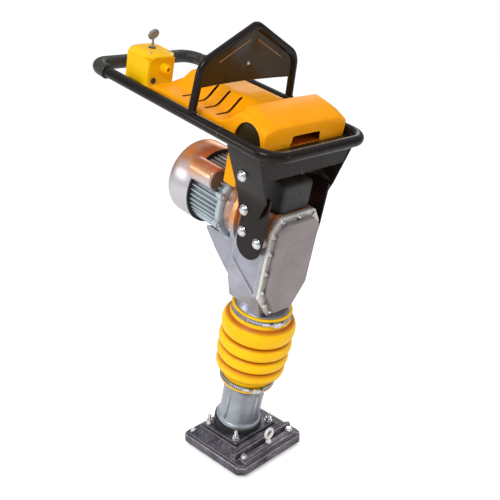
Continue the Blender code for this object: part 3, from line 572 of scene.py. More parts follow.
def dome_bolt(radius, height, place):
    """A domed head on a split spring washer."""
    top, rim = 0.0018, 0.0030
    washer = turned([(0, 0), (radius * 1.12, 0), (radius * 1.14, 0.0004), (radius * 1.14, 0.0014),
                     (radius * 1.10, top), (0, top)], steps=48)
    head = turned([(0, top), (radius, top), (radius, rim)] +
                  [(r, rim + h) for r, h in dome_profile(radius, height)], steps=48)
    return moved(joined([washer, head]), place)


# Pieces

# Edges of a fused or cut piece are sharp from this angle, in degrees
CUT_SMOOTH = 35


def piece(name, parts, body, node=None, place=MACHINE, smooth=35, bevel=0.0, segments=2, fused=(),
          cuts=()):
    """One object from (bmesh, look) parts, with shapes fused on and cut out, bevelled, and riding on a body.

    It stands for a CAD node, or for none.
    Where a part has a tuple of looks, its faces' material numbers say which.
    """
    mesh = bpy.data.meshes.new(name)
    looks = []
    for bm, look in parts:
        own = look if isinstance(look, tuple) else (look,)
        looks += [one for one in own if one not in looks]
        bmesh.ops.recalc_face_normals(bm, faces=bm.faces)
        bm.transform(place)
        for face in bm.faces:
            face.material_index = looks.index(own[min(face.material_index, len(own) - 1)])
    for look in looks:
        mesh.materials.append(look.material)
    whole = joined(bm for bm, _ in parts)
    whole.to_mesh(mesh)
    whole.free()
    obj = bpy.data.objects.new(name, mesh)
    bpy.context.scene.collection.objects.link(obj)
    for shapes, operation in ((fused, "UNION"), (cuts, "DIFFERENCE")):
        for bm in shapes:
            combine(obj, bm, place, operation)
    obj.data.shade_smooth()
    obj.data.set_sharp_from_angle(angle=radians(CUT_SMOOTH if fused or cuts else smooth))
    if bevel:
        step = obj.modifiers.new("edges", "BEVEL")
        step.width = bevel
        step.segments = segments
        step.limit_method = "ANGLE"
        step.angle_limit = radians(smooth)
        step.harden_normals = True
    if node:
        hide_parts(node)
    if body:
        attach(obj, body)
    return obj


def combine(obj, bm, place, operation):
    """Fuses a bmesh to an object or cuts it out.  The new faces take the object's last material."""
    bmesh.ops.recalc_face_normals(bm, faces=bm.faces)
    bm.transform(place)
    last = len(obj.data.materials) - 1
    for face in bm.faces:
        face.material_index = last
    mesh = bpy.data.meshes.new("cutter")
    bm.to_mesh(mesh)
    bm.free()
    for material in obj.data.materials:
        mesh.materials.append(material)
    cutter = bpy.data.objects.new("cutter", mesh)
    bpy.context.scene.collection.objects.link(cutter)
    step = obj.modifiers.new("cut", "BOOLEAN")
    step.operation = operation
    step.solver = "EXACT"
    step.object = cutter
    bpy.context.view_layer.update()
    made = bpy.data.meshes.new_from_object(obj.evaluated_get(bpy.context.evaluated_depsgraph_get()))
    obj.modifiers.remove(step)
    obj.data = made
    bpy.data.objects.remove(cutter)


def fasteners(name, shapes, body="upper_machine", place=MACHINE, bevel=0.0):
    """Small steel heads that stand for no CAD node."""
    piece(name, [(joined(shapes), STEEL)], body, None, place, bevel=bevel)


# The foot, in the frame's axes

def foot_outline(inset):
    """The foot seen from above, with its front corners cut off."""
    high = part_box("sole_plate")[1]
    half, reach, cut_off = high.x - inset, high.y - inset, 0.016
    corners = [(half, reach), (-half, reach), (-half, cut_off - reach), (cut_off - half, -reach),
               (half - cut_off, -reach), (half, cut_off - reach)]
    return rounded(corners, [0.016, 0.016] + [0.007] * 4, 5)


def make_sole():
    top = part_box("sole_plate")[1].z
    levels = [(0.0, 0.013), (0.004, 0.0075), (0.009, 0.002), (0.012, 0.0), (top - 0.0025, 0.0),
              (top, 0.0018)]
    sole = loft([(z, foot_outline(inset)) for z, inset in levels])
    recess = loft([(z, foot_outline(0.0062)) for z in (top - 0.006, top + 0.01)])
    piece("sole_casting", [(sole, IRON)], "ram", "sole_plate", WORLD, bevel=0.0008, cuts=[recess])


def make_shoe():
    """The shoe, with a shelf for the toe bar and slopes up to its crown, and the platform on the crown."""
    low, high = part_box("shoe_block")
    platform_low, platform_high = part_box("shoe_platform")
    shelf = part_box("toe_strap")[0].z - 0.0004
    crown = platform_low.z - 0.0004
    brow = platform_low.y - 0.030

    def level(z, corner, inset, front):
        half, rear = corner.x - inset, corner.y - inset
        return z, rounded([(half, rear), (-half, rear), (-half, front), (half, front)], 0.012, 6)

    levels = [level(low.z, high, 0.007, low.y + 0.004), level(low.z + 0.0065, high, 0.007, low.y + 0.004),
              level(low.z + 0.0075, high, 0.0005, low.y + 0.001), level(shelf, high, 0.0005, low.y + 0.001),
              level(shelf + 0.0002, high, 0.0015, brow), level(shelf + 0.003, high, 0.006, brow + 0.002)]
    for drop, grow in ((0.003, 0.010), (0.0002, 0.0055), (0.0001, 0.002)):
        levels.append(level(crown - drop, platform_high, -grow, platform_low.y - grow))
    toe = platform_low.y - 0.026
    ridge = [(toe - 0.006, shelf - 0.003), (toe - 0.001, crown + 0.001), (toe + 0.002, crown + 0.002),
             (toe + 0.014, crown - 0.004), (toe + 0.014, shelf - 0.003)]
    channel = [(-0.0009, 0.002), (-0.0009, -0.0035), (0.0009, -0.0035), (0.0009, 0.002)]
    grooves = []
    for side in (-1, 1):
        outline = [(side * (platform_high.x + 0.0038) + a, crown + b) for a, b in channel]
        grooves.append(prism(outline, "y", platform_low.y - 0.0038, platform_high.y + 0.0038))
    piece("shoe_casting", [(loft(levels), IRON)], "ram", "shoe_block", WORLD, smooth=28, bevel=0.0009,
          fused=[prism(ridge, "x", 0.008 - high.x, high.x - 0.008)], cuts=grooves)
    plate = block((-platform_high.x, platform_low.y, crown + 0.0004), platform_high)
    piece("platform_casting", [(plate, IRON)], "ram", "shoe_platform", WORLD, bevel=0.0022, segments=3)


def make_toe_strap():
    low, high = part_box("toe_strap")
    step, length, rear = (high.z - low.z) / 2, high.y - low.y, high.z - 0.0025
    outline = [(low.y, low.z), (low.y, low.z + step), (low.y + 0.33 * length, low.z + step),
               (low.y + 0.38 * length, high.z), (high.y - 0.14 * length, high.z),
               (high.y - 0.10 * length, rear), (high.y, rear), (high.y, low.z)]
    piece("toe_bar", [(prism(outline, "x", low.x, high.x), IRON)], "ram", "toe_strap", WORLD, bevel=0.0011)


def make_shoe_bolts():
    for side, _ in SIDES:
        low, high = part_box("toe_bolt_" + side)
        x, y, _ = middle(low, high)
        head = hex_head(0.0082, 0.0062, at(x, y, low.z + 0.0018), washer=0.0098)
        piece("toe_bolt_head_" + side, [(head, STEEL)], "ram", "toe_bolt_" + side, WORLD, bevel=0.0004)
    corner, shelf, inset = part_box("sole_plate")[1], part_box("toe_strap")[0].z, 0.021
    for side, sign in SIDES:
        seat = at(sign * (corner.x - inset), corner.y - inset, shelf + 0.0030)
        head = hex_head(0.0075, 0.0058, seat, washer=0.0095)
        fasteners("heel_bolt_head_" + side, [head], "ram", WORLD, 0.0004)


def stud_profile(radius, low, high, pitch=0.0016):
    """A threaded stud: a ridge for each turn, and a pointed end."""
    profile = [(0, low), (radius, low)]
    z = low
    while z < high - pitch:
        profile += [(radius, z), (radius - 0.0009, z + pitch / 2)]
        z += pitch
    return profile + [(radius - 0.001, high - 0.0008), (radius - 0.002, high), (0, high)]


def make_stud_nuts():
    for corner in ("front_left", "front_right", "rear_left", "rear_right"):
        low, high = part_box("stud_nut_" + corner)
        x, y, _ = middle(low, high)
        spin = Matrix.Rotation(0.4 + low.x * 9 + low.y * 5, 4, "Z")
        washer = turned([(0, 0), (0.0108, 0), (0.0110, 0.0006), (0.0106, 0.0020), (0, 0.0020)], steps=40)
        nut = hex_head(0.0094, 0.0092, at(0, 0, 0.0021) @ spin)
        stud = turned(stud_profile(0.0052, 0.009, high.z - low.z), steps=24)
        whole = moved(joined([washer, nut, stud]), at(x, y, low.z))
        piece("stud_and_nut_" + corner, [(whole, STEEL)], "ram", "stud_nut_" + corner, WORLD, bevel=0.0003)


def make_eye():
    low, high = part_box("eye_bolt")
    x, y, _ = middle(low, high)
    tube, size = 0.0043, 0.0134
    centre = Vector((0, 0, high.z - low.z - size - tube))
    loop = [centre + Vector((size * cos(t), 0, size * sin(t))) for t in round_angles(64)]
    eye = sweep(loop, tube, closed=True, steps=20)
    shank = turned([(0, 0.003), (0.0078, 0.003), (0.0080, 0.0055), (0.0060, 0.0075), (0.0046, 0.0105),
                    (0.0042, 0.0150), (0.0036, 0.0178), (0, 0.0178)], steps=32)
    nut = hex_head(0.0085, 0.0042, WORLD)
    whole = moved(joined([eye, shank, nut]), at(x, y, low.z))
    piece("lifting_eye", [(whole, ZINC)], "ram", "eye_bolt", WORLD, smooth=50)


# The leg

def make_leg():
    low, high = span("ram_leg")
    bottom, top, bore, flange, body, mouth = low.z, high.z, 0.048, 0.062, 0.0568, 0.066
    profile = [(bore, bottom), (flange - 0.001, bottom), (flange, bottom + 0.001), (flange, bottom + 0.0095),
               (flange - 0.0008, bottom + 0.0112), (flange - 0.0025, bottom + 0.0120)]
    for k in range(7):
        angle = radians(15 * k)
        profile.append((body + 0.004 - 0.004 * sin(angle), bottom + 0.020 - 0.008 * cos(angle)))
    profile += [(body - 0.0012, bottom + 0.045), (body - 0.0008, bottom + 0.085),
                (body + 0.0012, bottom + 0.118), (0.0605, bottom + 0.132), (0.0655, bottom + 0.138),
                (mouth, bottom + 0.141), (mouth, top), (bore, top)]
    shapes = [turned(profile, steps=96)]
    for angle in (180, 0, 262):
        rib = block((body - 0.004, -0.0035, bottom + 0.016), (body + 0.0030, 0.0035, bottom + 0.112))
        shapes.append(moved(softened(rib, 0.0015, 2), turn(angle, "Z")))
    piece("leg_casting", [(joined(shapes), LEG_SKIN)], "ram", "ram_leg", smooth=40)


NECK, UPPER_NECK, VALLEY = 0.0725, 0.0765, 0.0815
FOLDS = [(0.279, 0.0185, 0.0930), (0.317, 0.0195, 0.0960), (0.3565, 0.0200, 0.0975),
         (0.4045, 0.0275, 0.0975)]
FOLD_STEPS = 18


def bellows_outer(low, high):
    """(radius, height) up the outside: a lip, a neck under the clamp, four folds, a neck and a lip."""
    lip = [(0, 0), (0.0018, 0.0006), (0.0026, 0.0030), (0.0018, 0.0055), (0, 0.0065)]
    points = [(NECK + out, low + up) for out, up in lip + [(0, 0.022), (0.002, 0.026), (0.006, 0.032)]]
    for centre, half, radius in FOLDS:
        for k in range(FOLD_STEPS):
            share = -1 + 2 * k / FOLD_STEPS
            bulge = (1 - abs(share) ** 2.3) ** 0.62
            points.append((VALLEY + (radius - VALLEY) * bulge, centre + share * half))
    points += [(VALLEY, 0.4325), (0.0800, 0.4365), (UPPER_NECK, 0.4405)]
    return points + [(UPPER_NECK + out, high - down) for out, down in reversed(lip)]


def make_bellows():
    low, high = span("bellows")
    wall = 0.004
    inner = [(UPPER_NECK - wall, high.z), (UPPER_NECK - wall, 0.442), (0.0775, 0.432), (0.0775, 0.268),
             (NECK - wall, 0.252), (NECK - wall, low.z)]
    skin = turned(bellows_outer(low.z, high.z) + inner, steps=112)
    obj = piece("rubber_bellows", [(skin, BELLOWS)], None, "bellows", smooth=60)
    back = MACHINE.inverted()
    # How deep each point lies in the valley of a fold, which bellows_look turns into painted shade
    depths = []
    for v in obj.data.vertices:
        p = back @ v.co
        in_folds = 0.262 < p.z < 0.436
        depths.append(clamped((0.0935 - math.hypot(p.x, p.y)) / 0.0105) if in_folds else 0.0)
    obj.data.attributes.new("depth", "FLOAT", "POINT").data.foreach_set("value", depths)
    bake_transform(obj)


def make_clamp(name, node, body, degrees):
    """A band with rolled edges and punched slots, the tail of the band, and a worm screw in its housing."""
    low, high = span(node)
    z, half = (low.z + high.z) / 2, 0.0062
    inner = high.x - 0.0025
    outer = inner + 0.0016
    edge = outer + 0.0008
    top = z + half
    upper = [(outer, top - 0.0016), (edge, top - 0.0012), (edge, top + 0.0002), (inner, top)]
    band = turned([(r, 2 * z - h) for r, h in reversed(upper)] + upper, steps=96)
    screw_y = -outer - 0.0040
    housing = block((-0.010, -outer - 0.0085, z - 0.0072), (0.010, -outer + 0.0004, z + 0.0072))
    screw = rod(0.0036, -0.020, 0.017, (0, screw_y, z), "x", 24)
    head = hex_head(0.0052, 0.0045, at(0.0165, screw_y, z) @ AIM["x"])
    tail = arc((0, 0), outer + 0.0007, -96, -96 - 2.6 * 8, 8)
    tail += [(x * 1.02, y * 1.02) for x, y in reversed(tail)]
    strip = prism(tail, "z", z - half + 0.002, z + half - 0.002)
    slots = []
    for k in (k for k in range(-13, 14) if abs(k) > 2):
        slot = block((-0.0011, -outer - 0.0006, -0.0034), (0.0011, -outer + 0.0008, 0.0034))
        slots.append(moved(slot, turn(4.2 * k, "Z") @ at(0, 0, z) @ turn(12, "Y")))
    whole = moved(joined([softened(housing, 0.0022, 3), screw, head, strip] + slots), turn(degrees, "Z"))
    piece(name, [(band, BAND), (whole, STEEL)], body, node, smooth=40)


# The crankcase

CASE_KNEE, CASE_CHAMFER = 0.535, 0.026


def case_shape():
    """The casting's half width, bottom, shoulder, top and front, from the front cover."""
    low, high = span("front_cover")
    return high.x - 0.005, low.z + 0.005, high.z - 0.037, high.z - 0.005, high.y + 0.0003


def case_outline(grow=0.0, waist=0.45):
    """The casting from the front, as (x, z): chamfered shoulders above, narrowing to its waist below."""
    half, bottom, shoulder, top, _ = case_shape()
    half += grow
    right = [(half * waist, bottom - grow), (half, CASE_KNEE - grow), (half, shoulder),
             (half - CASE_CHAMFER, top + grow)]
    corners = right + [(-x, z) for x, z in reversed(right)]
    return rounded(corners, [0.010, 0.014, 0.008, 0.008, 0.008, 0.008, 0.014, 0.010], 5)


def flange_bolt_places():
    """Evenly placed bolts round the cover's flange, as (x, z)."""
    half, bottom, shoulder, top, _ = case_shape()
    edge = half - 0.0035
    side = [(half * 0.45 - 0.005, bottom + 0.006), (half * 0.74, 0.506), (edge, 0.548), (edge, 0.602),
            (edge, 0.656), (edge, shoulder - 0.008), (half - CASE_CHAMFER, top - 0.0055)]
    return side + [(-x, z) for x, z in side] + [(0, top - 0.0035)]


def make_crankcase():
    half, bottom, _, _, front = case_shape()
    rear = span("gear_housing")[0].y - 0.0003
    shelf = bottom - 0.0055
    foot = span("crankcase")[0].z
    neck = [(0, foot), (0.0565, foot), (0.0565, 0.4412), (0.0712, 0.4412), (0.0715, 0.4420),
            (0.0715, shelf - 0.001), (0.0705, shelf), (0.062, 0.492), (0.060, 0.500), (0, 0.500)]
    parts = [prism(case_outline(0.005), "y", front, front + 0.0105), turned(neck, steps=96)]
    rib_start, rib_end = Vector((rear - 0.006, 0.590)), Vector((front + 0.008, 0.528))
    rib_thick, rib_proud = 0.0050, 0.0034
    along = rib_end - rib_start
    across = Vector((-along.y, along.x)).normalized() * rib_thick / 2
    for side in (-1, 1):
        for spot in ("rear", "front"):
            _, y, z = middle(*span("plate_bolt_left_" + spot))
            boss = turned([(0, 0), (0.0155, 0), (0.0140, 0.004), (0.0138, 0.0247), (0, 0.0247)], steps=40)
            parts.append(moved(boss, at(side * 0.075, y, z) @ Matrix.Diagonal((side, 1, 1, 1)) @ AIM["x"]))
        rib = [rib_start + across, rib_end + across, rib_end - across, rib_start - across]
        parts.append(prism(rib, "x", *sorted((side * (half - 0.003), side * (half + rib_proud)))))
    shelf_cut = block((-0.1, -0.1, shelf - 0.0004), (0.1, front, 0.52))
    piece("crankcase_casting", [(prism(case_outline(0, 0.75), "y", front, rear), CASTING)], "upper_machine",
          "crankcase", smooth=30, bevel=0.0016, segments=3, fused=parts, cuts=[shelf_cut])


def make_front_cover():
    """The cover's flange on its gasket, its raised face, and its bolts in their bosses."""
    low, high = span("front_cover")
    seam = high.y
    flange = prism(case_outline(0.005), "y", seam - 0.0085, seam - 0.0008)
    step = prism(case_outline(-0.0085), "y", seam - 0.0090, seam - 0.002)
    piece("cover_casting", [(flange, COVER_RIM)], "upper_machine", "front_cover", smooth=30, bevel=0.0018,
          segments=3, fused=[step])
    face = prism(case_outline(-0.0092), "y", low.y, seam - 0.0080)
    piece("cover_panel_face", [(face, COVER_FACE)], "upper_machine", smooth=30, bevel=0.0030, segments=4)
    gasket = prism(case_outline(0.0040), "y", seam - 0.0008, seam + 0.0001)
    piece("cover_gasket", [(gasket, GASKET_AND_GAP_SHADOW)], "upper_machine")
    heads, lobes = [], []
    for x, z in flange_bolt_places():
        lobes.append(turned([(0, 0), (0.0066, 0), (0.0074, 0.0008), (0.0074, 0.0088), (0, 0.0088)],
                            (x, seam - 0.0098, z), "y", 28))
        spin = Matrix.Rotation(31 * x + 17 * z, 4, "Z")
        heads.append(hex_head(0.0047, 0.0042, at(x, seam - 0.0104, z) @ AIM["-y"] @ spin, washer=0.0058))
    piece("cover_bosses", [(joined(lobes), COVER_RIM)], "upper_machine", bevel=0.0006)
    fasteners("cover_bolts", heads, bevel=0.0004)


# The motor, round its axis along Y

MOTOR_Z = middle(*span("rotor_shaft"))[2]
ON_AXIS = (0, 0, MOTOR_Z)


def eight_places(radius):
    """(x, z) of eight places round the motor's axis."""
    return [polar((0, MOTOR_Z), radius, 22.5 + 45 * k) for k in range(8)]


def make_gear_housing():
    start = span("gear_housing")[0].y
    profile = [(0.019, start), (0.0945, start), (0.096, start + 0.0015), (0.096, start + 0.0125),
               (0.0945, start + 0.014), (0.0865, start + 0.0165), (0.084, start + 0.021), (0.084, 0.1120),
               (0.019, 0.1120)]
    cradle = [(start, 0.660), (0.186, 0.612), (0.196, 0.612)] + arc((0.180, 0.606), 0.016, 0, -40, 6)
    cradle += [(0.150, 0.556), (0.105, 0.521), (start, 0.492)]
    room = rod(0.0985, 0.112, 0.30, ON_AXIS, "y", 96)
    piece("gear_casting", [(turned(profile, ON_AXIS, "y", 96), CASTING)], "upper_machine", "gear_housing",
          smooth=30, bevel=0.0030, segments=4, fused=[prism(cradle, "x", -0.046, 0.046)], cuts=[room])
    above = [(x, z) for x, z in eight_places(0.0905) if z > 0.63]
    heads = [hex_head(0.0050, 0.0045, at(x, start + 0.0146, z) @ AIM["y"]) for x, z in above]
    fasteners("housing_bolts", heads, bevel=0.0003)


def fin_outline(radius, count=44, depth=0.0095):
    """A circle with radial fins, as (x, z) round the motor's axis.  Fins have round tips and round roots."""
    shape = [(0.06, 0.0010), (0.12, 0.0), (0.26, 0.0), (0.32, 0.0010), (0.40, depth * 0.80), (0.46, depth),
             (0.92, depth), (0.98, depth * 0.80)]
    return [polar((0, MOTOR_Z), radius - drop, 360 * (i + share) / count) for i in range(count)
            for share, drop in shape]


def make_motor():
    """The end shield with its lugs and bolts, and the finned frame."""
    low, high = span("motor_end_shield")
    front, rear = low.y, high.y
    shield = [(0.014, front), (0.080, front), (0.094, front + 0.0045), (0.0965, front + 0.0075),
              (0.0970, rear - 0.002), (0.0955, rear), (0.014, rear)]
    lugs, bolts = [], []
    for x, z in eight_places(0.0975):
        lugs.append(rod(0.0090, front + 0.0035, rear, (x, 0, z), "y", 32))
        bolts.append(hex_head(0.0052, 0.0045, at(x, front + 0.0030, z) @ AIM["-y"], washer=0.0068))
        bolts.append(rod(0.0040, rear, rear + 0.0035, (x, 0, z), "y", 16))
    piece("shield_casting", [(turned(shield, ON_AXIS, "y", 96), MOTOR_SKIN)], "upper_machine",
          "motor_end_shield", smooth=30, bevel=0.0010, segments=3, fused=lugs)
    fasteners("shield_bolts", bolts)
    low, high = span("motor_frame")
    fins = prism(fin_outline(high.x), "y", low.y, high.y)
    bore = rod(0.076, low.y - 0.01, high.y + 0.01, ON_AXIS, "y", 64)
    piece("finned_frame", [(fins, MOTOR_SKIN)], "upper_machine", "motor_frame", smooth=50, cuts=[bore])


def make_cowl():
    """The fan cowl: a dish of sheet metal with rings of slots in its end, and screws round its rim."""
    low, high = span("fan_cowl")
    radius, rim, rear = high.x, low.y, high.y
    corner, corner_r, corner_y = 0.026, radius - 0.026, rear - 0.030
    outer = [(radius - 0.0035, rim), (radius - 0.0006, rim), (radius, rim + 0.0010), (radius, rear - 0.034)]
    for angle in (radians(a) for a in range(9, 90, 9)):
        outer.append((corner_r + corner * cos(angle), corner_y + (rear - 0.002 - corner_y) * sin(angle)))
    outer += [(radius - 0.036, rear - 0.0004), (0.030, rear), (0.0, rear)]
    inner = [(max(r - 0.003, 0.0), y - 0.0028 if r < radius - 0.004 else y) for r, y in reversed(outer[1:])]
    # A black ring filling the gap in front of the cowl's rim: a painted shadow standing for the shade in that
    # gap
    gap = ring(0.0900, radius - 0.0006, rim - 0.0034, rim - 0.0002, ON_AXIS, "y", 96)
    piece("cowl_gap_painted_shadow", [(gap, GASKET_AND_GAP_SHADOW)], "upper_machine")
    slots = []
    slot_width, gap_angle = 0.008, 4.5
    for count, inside in ((8, 0.020), (10, 0.033), (12, 0.046), (14, 0.059)):
        for k in range(count):
            start, stop = 360 * k / count + gap_angle, 360 * (k + 1) / count - gap_angle
            outline = arc((0, MOTOR_Z), inside + slot_width, start, stop, 6)
            outline += arc((0, MOTOR_Z), inside, stop, start, 6)
            slots.append(prism(outline, "y", rear - 0.02, rear + 0.01))
    piece("motor_cowl", [(turned(outer + inner, ON_AXIS, "y", 112), COWL_SKIN)], "upper_machine", "fan_cowl",
          smooth=40, cuts=[joined(slots)])
    rim_ring = at(0, rim + 0.010, MOTOR_Z)
    seats = [rim_ring @ turn(-a, "Y") @ at(radius, 0, 0) @ AIM["x"] for a in (38, 142, 218, 322)]
    fasteners("cowl_screws", [screw_head(0.0046, 0.0026, seat, rim=0.0006, steps=24) for seat in seats])


def make_capacitor():
    """The capacitor's shell, its flat feet merging with the motor, and the coppery disc in its end."""
    low, high = span("capacitor_cover")
    x, z, radius = (low.x + high.x) / 2, 0.762, (high.x - low.x) / 2
    toward = math.atan2(MOTOR_Z - z, -x)
    shell = arc((x, z), radius, math.degrees(toward) + 90, math.degrees(toward) + 270, 28)
    reach = Vector((cos(toward), sin(toward))) * 0.030
    feet = [(p[0] + reach.x, p[1] + reach.y) for p in (shell[-1], shell[0])]
    room = rod(0.0933, 0.10, 0.30, ON_AXIS, "y", 96)
    piece("capacitor_shell", [(prism(shell + feet, "y", low.y, high.y), COWL_SKIN)], "upper_machine",
          "capacitor_cover", smooth=30, bevel=0.0035, segments=4, cuts=[room])
    face = low.y + 0.001
    end = rod(radius - 0.0048, low.y - 0.0012, face, (x, 0, z), "y", 56)
    lip = ring(radius - 0.0052, radius - 0.0030, low.y - 0.0020, face, (x, 0, z), "y", 56)
    piece("capacitor_end", [(end, COPPER_AND_PAINTED_REFLECTION), (lip, COWL_SKIN)], "upper_machine", bevel=0.0004)


def make_terminal_box():
    low, high = span("terminal_box")
    radius = (high.y - low.y) / 2
    y, z = (low.y + high.y) / 2, high.z - radius
    outline = [(low.y, 0.77), (high.y, 0.77)] + arc((y, z), radius, 0, 180, 28)
    room = rod(0.0968, 0.05, 0.15, ON_AXIS, "y", 96)
    piece("terminal_housing", [(prism(outline, "x", low.x, high.x), YELLOW)], "upper_machine", "terminal_box",
          smooth=30, bevel=0.0080, segments=5, cuts=[room])
    front, rear = low.y - 0.0008, high.y + 0.0008
    strip = [(front, z - 0.002), (rear, z - 0.002), (rear, z), (front, z)]
    seam = prism(strip, "x", low.x + 0.004, high.x - 0.004)
    piece("terminal_seam", [(seam, GASKET_AND_GAP_SHADOW)], "upper_machine")
    ends = (low.x + 0.014, high.x - 0.014)
    fasteners("terminal_screws", [screw_head(0.004, 0.002, at(x, y, high.z)) for x in ends])


# The side plates and their bolts

def make_lower_plates():
    for side, _ in SIDES:
        low, high = span("lower_plate_" + side)
        outline = [(0.036, high.z), (0.038, 0.668)] + arc((-0.001, 0.668), 0.039, -5, -175, 40)
        outline += [(-0.042, 0.690), (-0.042, high.z)]
        piece("lower_side_plate_" + side, [(prism(outline, "x", low.x, high.x), BLACK)], "upper_machine",
              "lower_plate_" + side, smooth=40, bevel=0.0014, segments=3)


def make_side_bolts():
    head_depth = 0.008
    for side, sign in SIDES:
        for stem, body in (("plate_bolt_%s_rear", "upper_machine"), ("plate_bolt_%s_front", "upper_machine"),
                           ("pivot_bolt_%s", "handle"), ("tube_bolt_%s", "handle")):
            node = stem % side
            low, high = span(node)
            _, y, z = middle(low, high)
            face = (high.x - head_depth) if sign > 0 else (low.x + head_depth)
            place = at(face, y, z) @ Matrix.Diagonal((sign, 1, 1, 1)) @ AIM["x"]
            piece(node + "_head", [(dome_bolt(0.0112, 0.0050, place), STEEL)], body, node)


def plate_x(z):
    """How far out an upper side plate's inner face is at this height: upright, then leaning out."""
    low, high = span("upper_plate_left")
    bend, rail_foot = 0.790, span("handle_frame")[1].x - 0.014
    return low.x + clamped((z - bend) / (high.z - bend)) * (rail_foot - 0.003 - low.x)


def make_upper_plates():
    top = span("upper_plate_left")[1].z
    outline = [(0.063, top), (0.0545, 0.800), (0.0525, 0.790)]
    outline += arc((0.006, 0.772), 0.038, 5, -185, 40)[3:-3]
    outline += [(-0.0385, 0.790), (-0.0405, 0.800), (-0.043, top)]
    heights = [0.776 + 0.005 * k for k in range(8)] + [0.811 + 0.013 * k for k in range(1, 7)]
    for side, sign in SIDES:
        bm = prism(outline, "x", 0.0, 0.006)
        bisected(bm, (0, 0, 1), [z for z in heights if z < top - 0.002])
        for vert in bm.verts:
            soft = sum(plate_x(vert.co.z + d) for d in (-0.012, -0.006, 0.0, 0.006, 0.012)) / 5
            vert.co.x = sign * (vert.co.x + soft)
        piece("upper_side_plate_" + side, [(bm, BLACK)], "handle", "upper_plate_" + side, smooth=40,
              bevel=0.0013, segments=3)


def make_braces():
    low, high = span("cross_tube")
    _, y, z = middle(low, high)
    tube = turned([(0.0055, low.x), (0.0128, low.x), (0.014, low.x + 0.0012), (0.014, high.x - 0.0012),
                   (0.0128, high.x), (0.0055, high.x)], (0, y, z), "x", 48)
    piece("cross_tube_painted", [(tube, BLACK)], "handle", "cross_tube")
    low, high = span("front_brace")
    near, far = plate_x(low.z) - 0.001, plate_x(high.z) - 0.001
    sheet = prism([(-near, low.z), (near, low.z), (far, high.z), (-far, high.z)], "y", low.y, high.y)
    fold = block((-near + 0.002, low.y, low.z - 0.0005), (near - 0.002, high.y + 0.013, low.z + 0.0035))
    piece("front_brace_sheet", [(sheet, BLACK), (fold, BLACK)], "handle", "front_brace", bevel=0.0011,
          segments=3)
    piece("rubber_buffer", [(block(*span("shock_block")), RUBBER)], "upper_machine", "shock_block", smooth=50,
          bevel=0.0115, segments=6)


# The handle and its hoop

def rail():
    """The handle tube's middle line: its side, front, rear and height, and its radius."""
    low, high = span("handle_frame")
    radius = (high.z - low.z) / 2
    return high.x - radius, low.y + radius, high.y - radius, (low.z + high.z) / 2, radius


def handle_path(start=None):
    """The middle line all the way round, or the part of it behind start."""
    side, front, rear, z, _ = rail()
    y, front_radius = (front, 0.048) if start is None else (start, 0)
    corners = [(side, y, z), (side, rear, z), (-side, rear, z), (-side, y, z)]
    return rounded(corners, [front_radius, 0.042, 0.042, front_radius], 14, closed=start is None)


def make_handle():
    """The closed handle tube, with weld beads where its halves meet and under it along the side plates."""
    side, _, _, z, radius = rail()
    shapes = [sweep(resampled(handle_path(), 0.03, closed=True), radius, closed=True, steps=36)]
    shapes += [weld((sign * side, 0.086, z), (0, 1, 0), radius - 0.0008, 0.0013) for sign in (-1, 1)]
    tip, wide, long = 0.0002, 0.0026, 0.010
    angles = [radians(a) for a in range(15, 180, 15)]
    bead = [(tip, -long)] + [(wide * sin(a), -long * cos(a)) for a in angles] + [(tip, long)]
    for sign in (-1, 1):
        for y in (-0.03298, 0.004, 0.05818):
            seat = at(sign * (side - 0.001), y, z - radius - 0.0002)
            shapes.append(moved(turned(bead, steps=10), seat @ AIM["y"]))
    piece("handle_tube", [(shape, BLACK) for shape in shapes], "handle", "handle_frame", smooth=60)


def make_grip():
    """A ribbed rubber sleeve, with a lip at each end."""
    radius = rail()[-1]
    path = resampled(handle_path(span("grip_sleeve")[0].y), 0.00125)
    length = sum((b - a).length for a, b in zip(path, path[1:]))
    thick, ribs, lip, mouth = 0.0034, 0.0006, 0.0010, 0.0022

    def sleeve(travelled):
        ends = min(travelled, length - travelled)
        wave = 0.5 + 0.5 * sin(2 * pi * travelled / 0.0065) if ends > 0.008 else 1.0
        edge = (lip if ends < 0.006 else 0.0) - (mouth if ends < 0.0013 else 0.0)
        return radius + thick + ribs * wave + edge

    piece("rubber_grip", [(sweep(path, sleeve, steps=32), GRIP)], "handle", "grip_sleeve", smooth=70)


HOOP_KNEE, HOOP_APEX = 1.042, 1.122


def hoop_shape():
    """The hoop's place along the machine, its top's middle line, and its tube's radius."""
    low, high = span("hoop")
    radius = (high.y - low.y) / 2
    return (low.y + high.y) / 2, high.z - radius, radius


def hoop_path(inset=0.0):
    """The hoop's middle line, or a line inside it."""
    side, _, _, z, tube = rail()
    y = hoop_shape()[0]
    foot = z + tube * 0.90 + inset
    knee = side - 0.010
    pitch = math.atan2(HOOP_APEX - HOOP_KNEE, knee)
    low_knee = HOOP_KNEE - inset * (1 / cos(pitch) - math.tan(pitch))
    corners = [(side - inset, y, foot), (knee - inset, y, low_knee), (0, y, HOOP_APEX - inset / cos(pitch)),
               (inset - knee, y, low_knee), (inset - side, y, foot)]
    return rounded(corners, [0, 0.045, 0.020, 0.045, 0], 14, closed=False)


def make_hoop():
    y, _, radius = hoop_shape()
    side, _, _, z, tube = rail()
    shapes = [sweep(resampled(hoop_path(), 0.02), radius, steps=32)]
    foot = z + tube * 0.97
    shapes += [weld((sign * side, y, foot), (0, 0, 1), radius - 0.0002, 0.0024) for sign in (-1, 1)]
    piece("hoop_tube", [(shape, BLACK) for shape in shapes], "handle", "hoop", smooth=60)


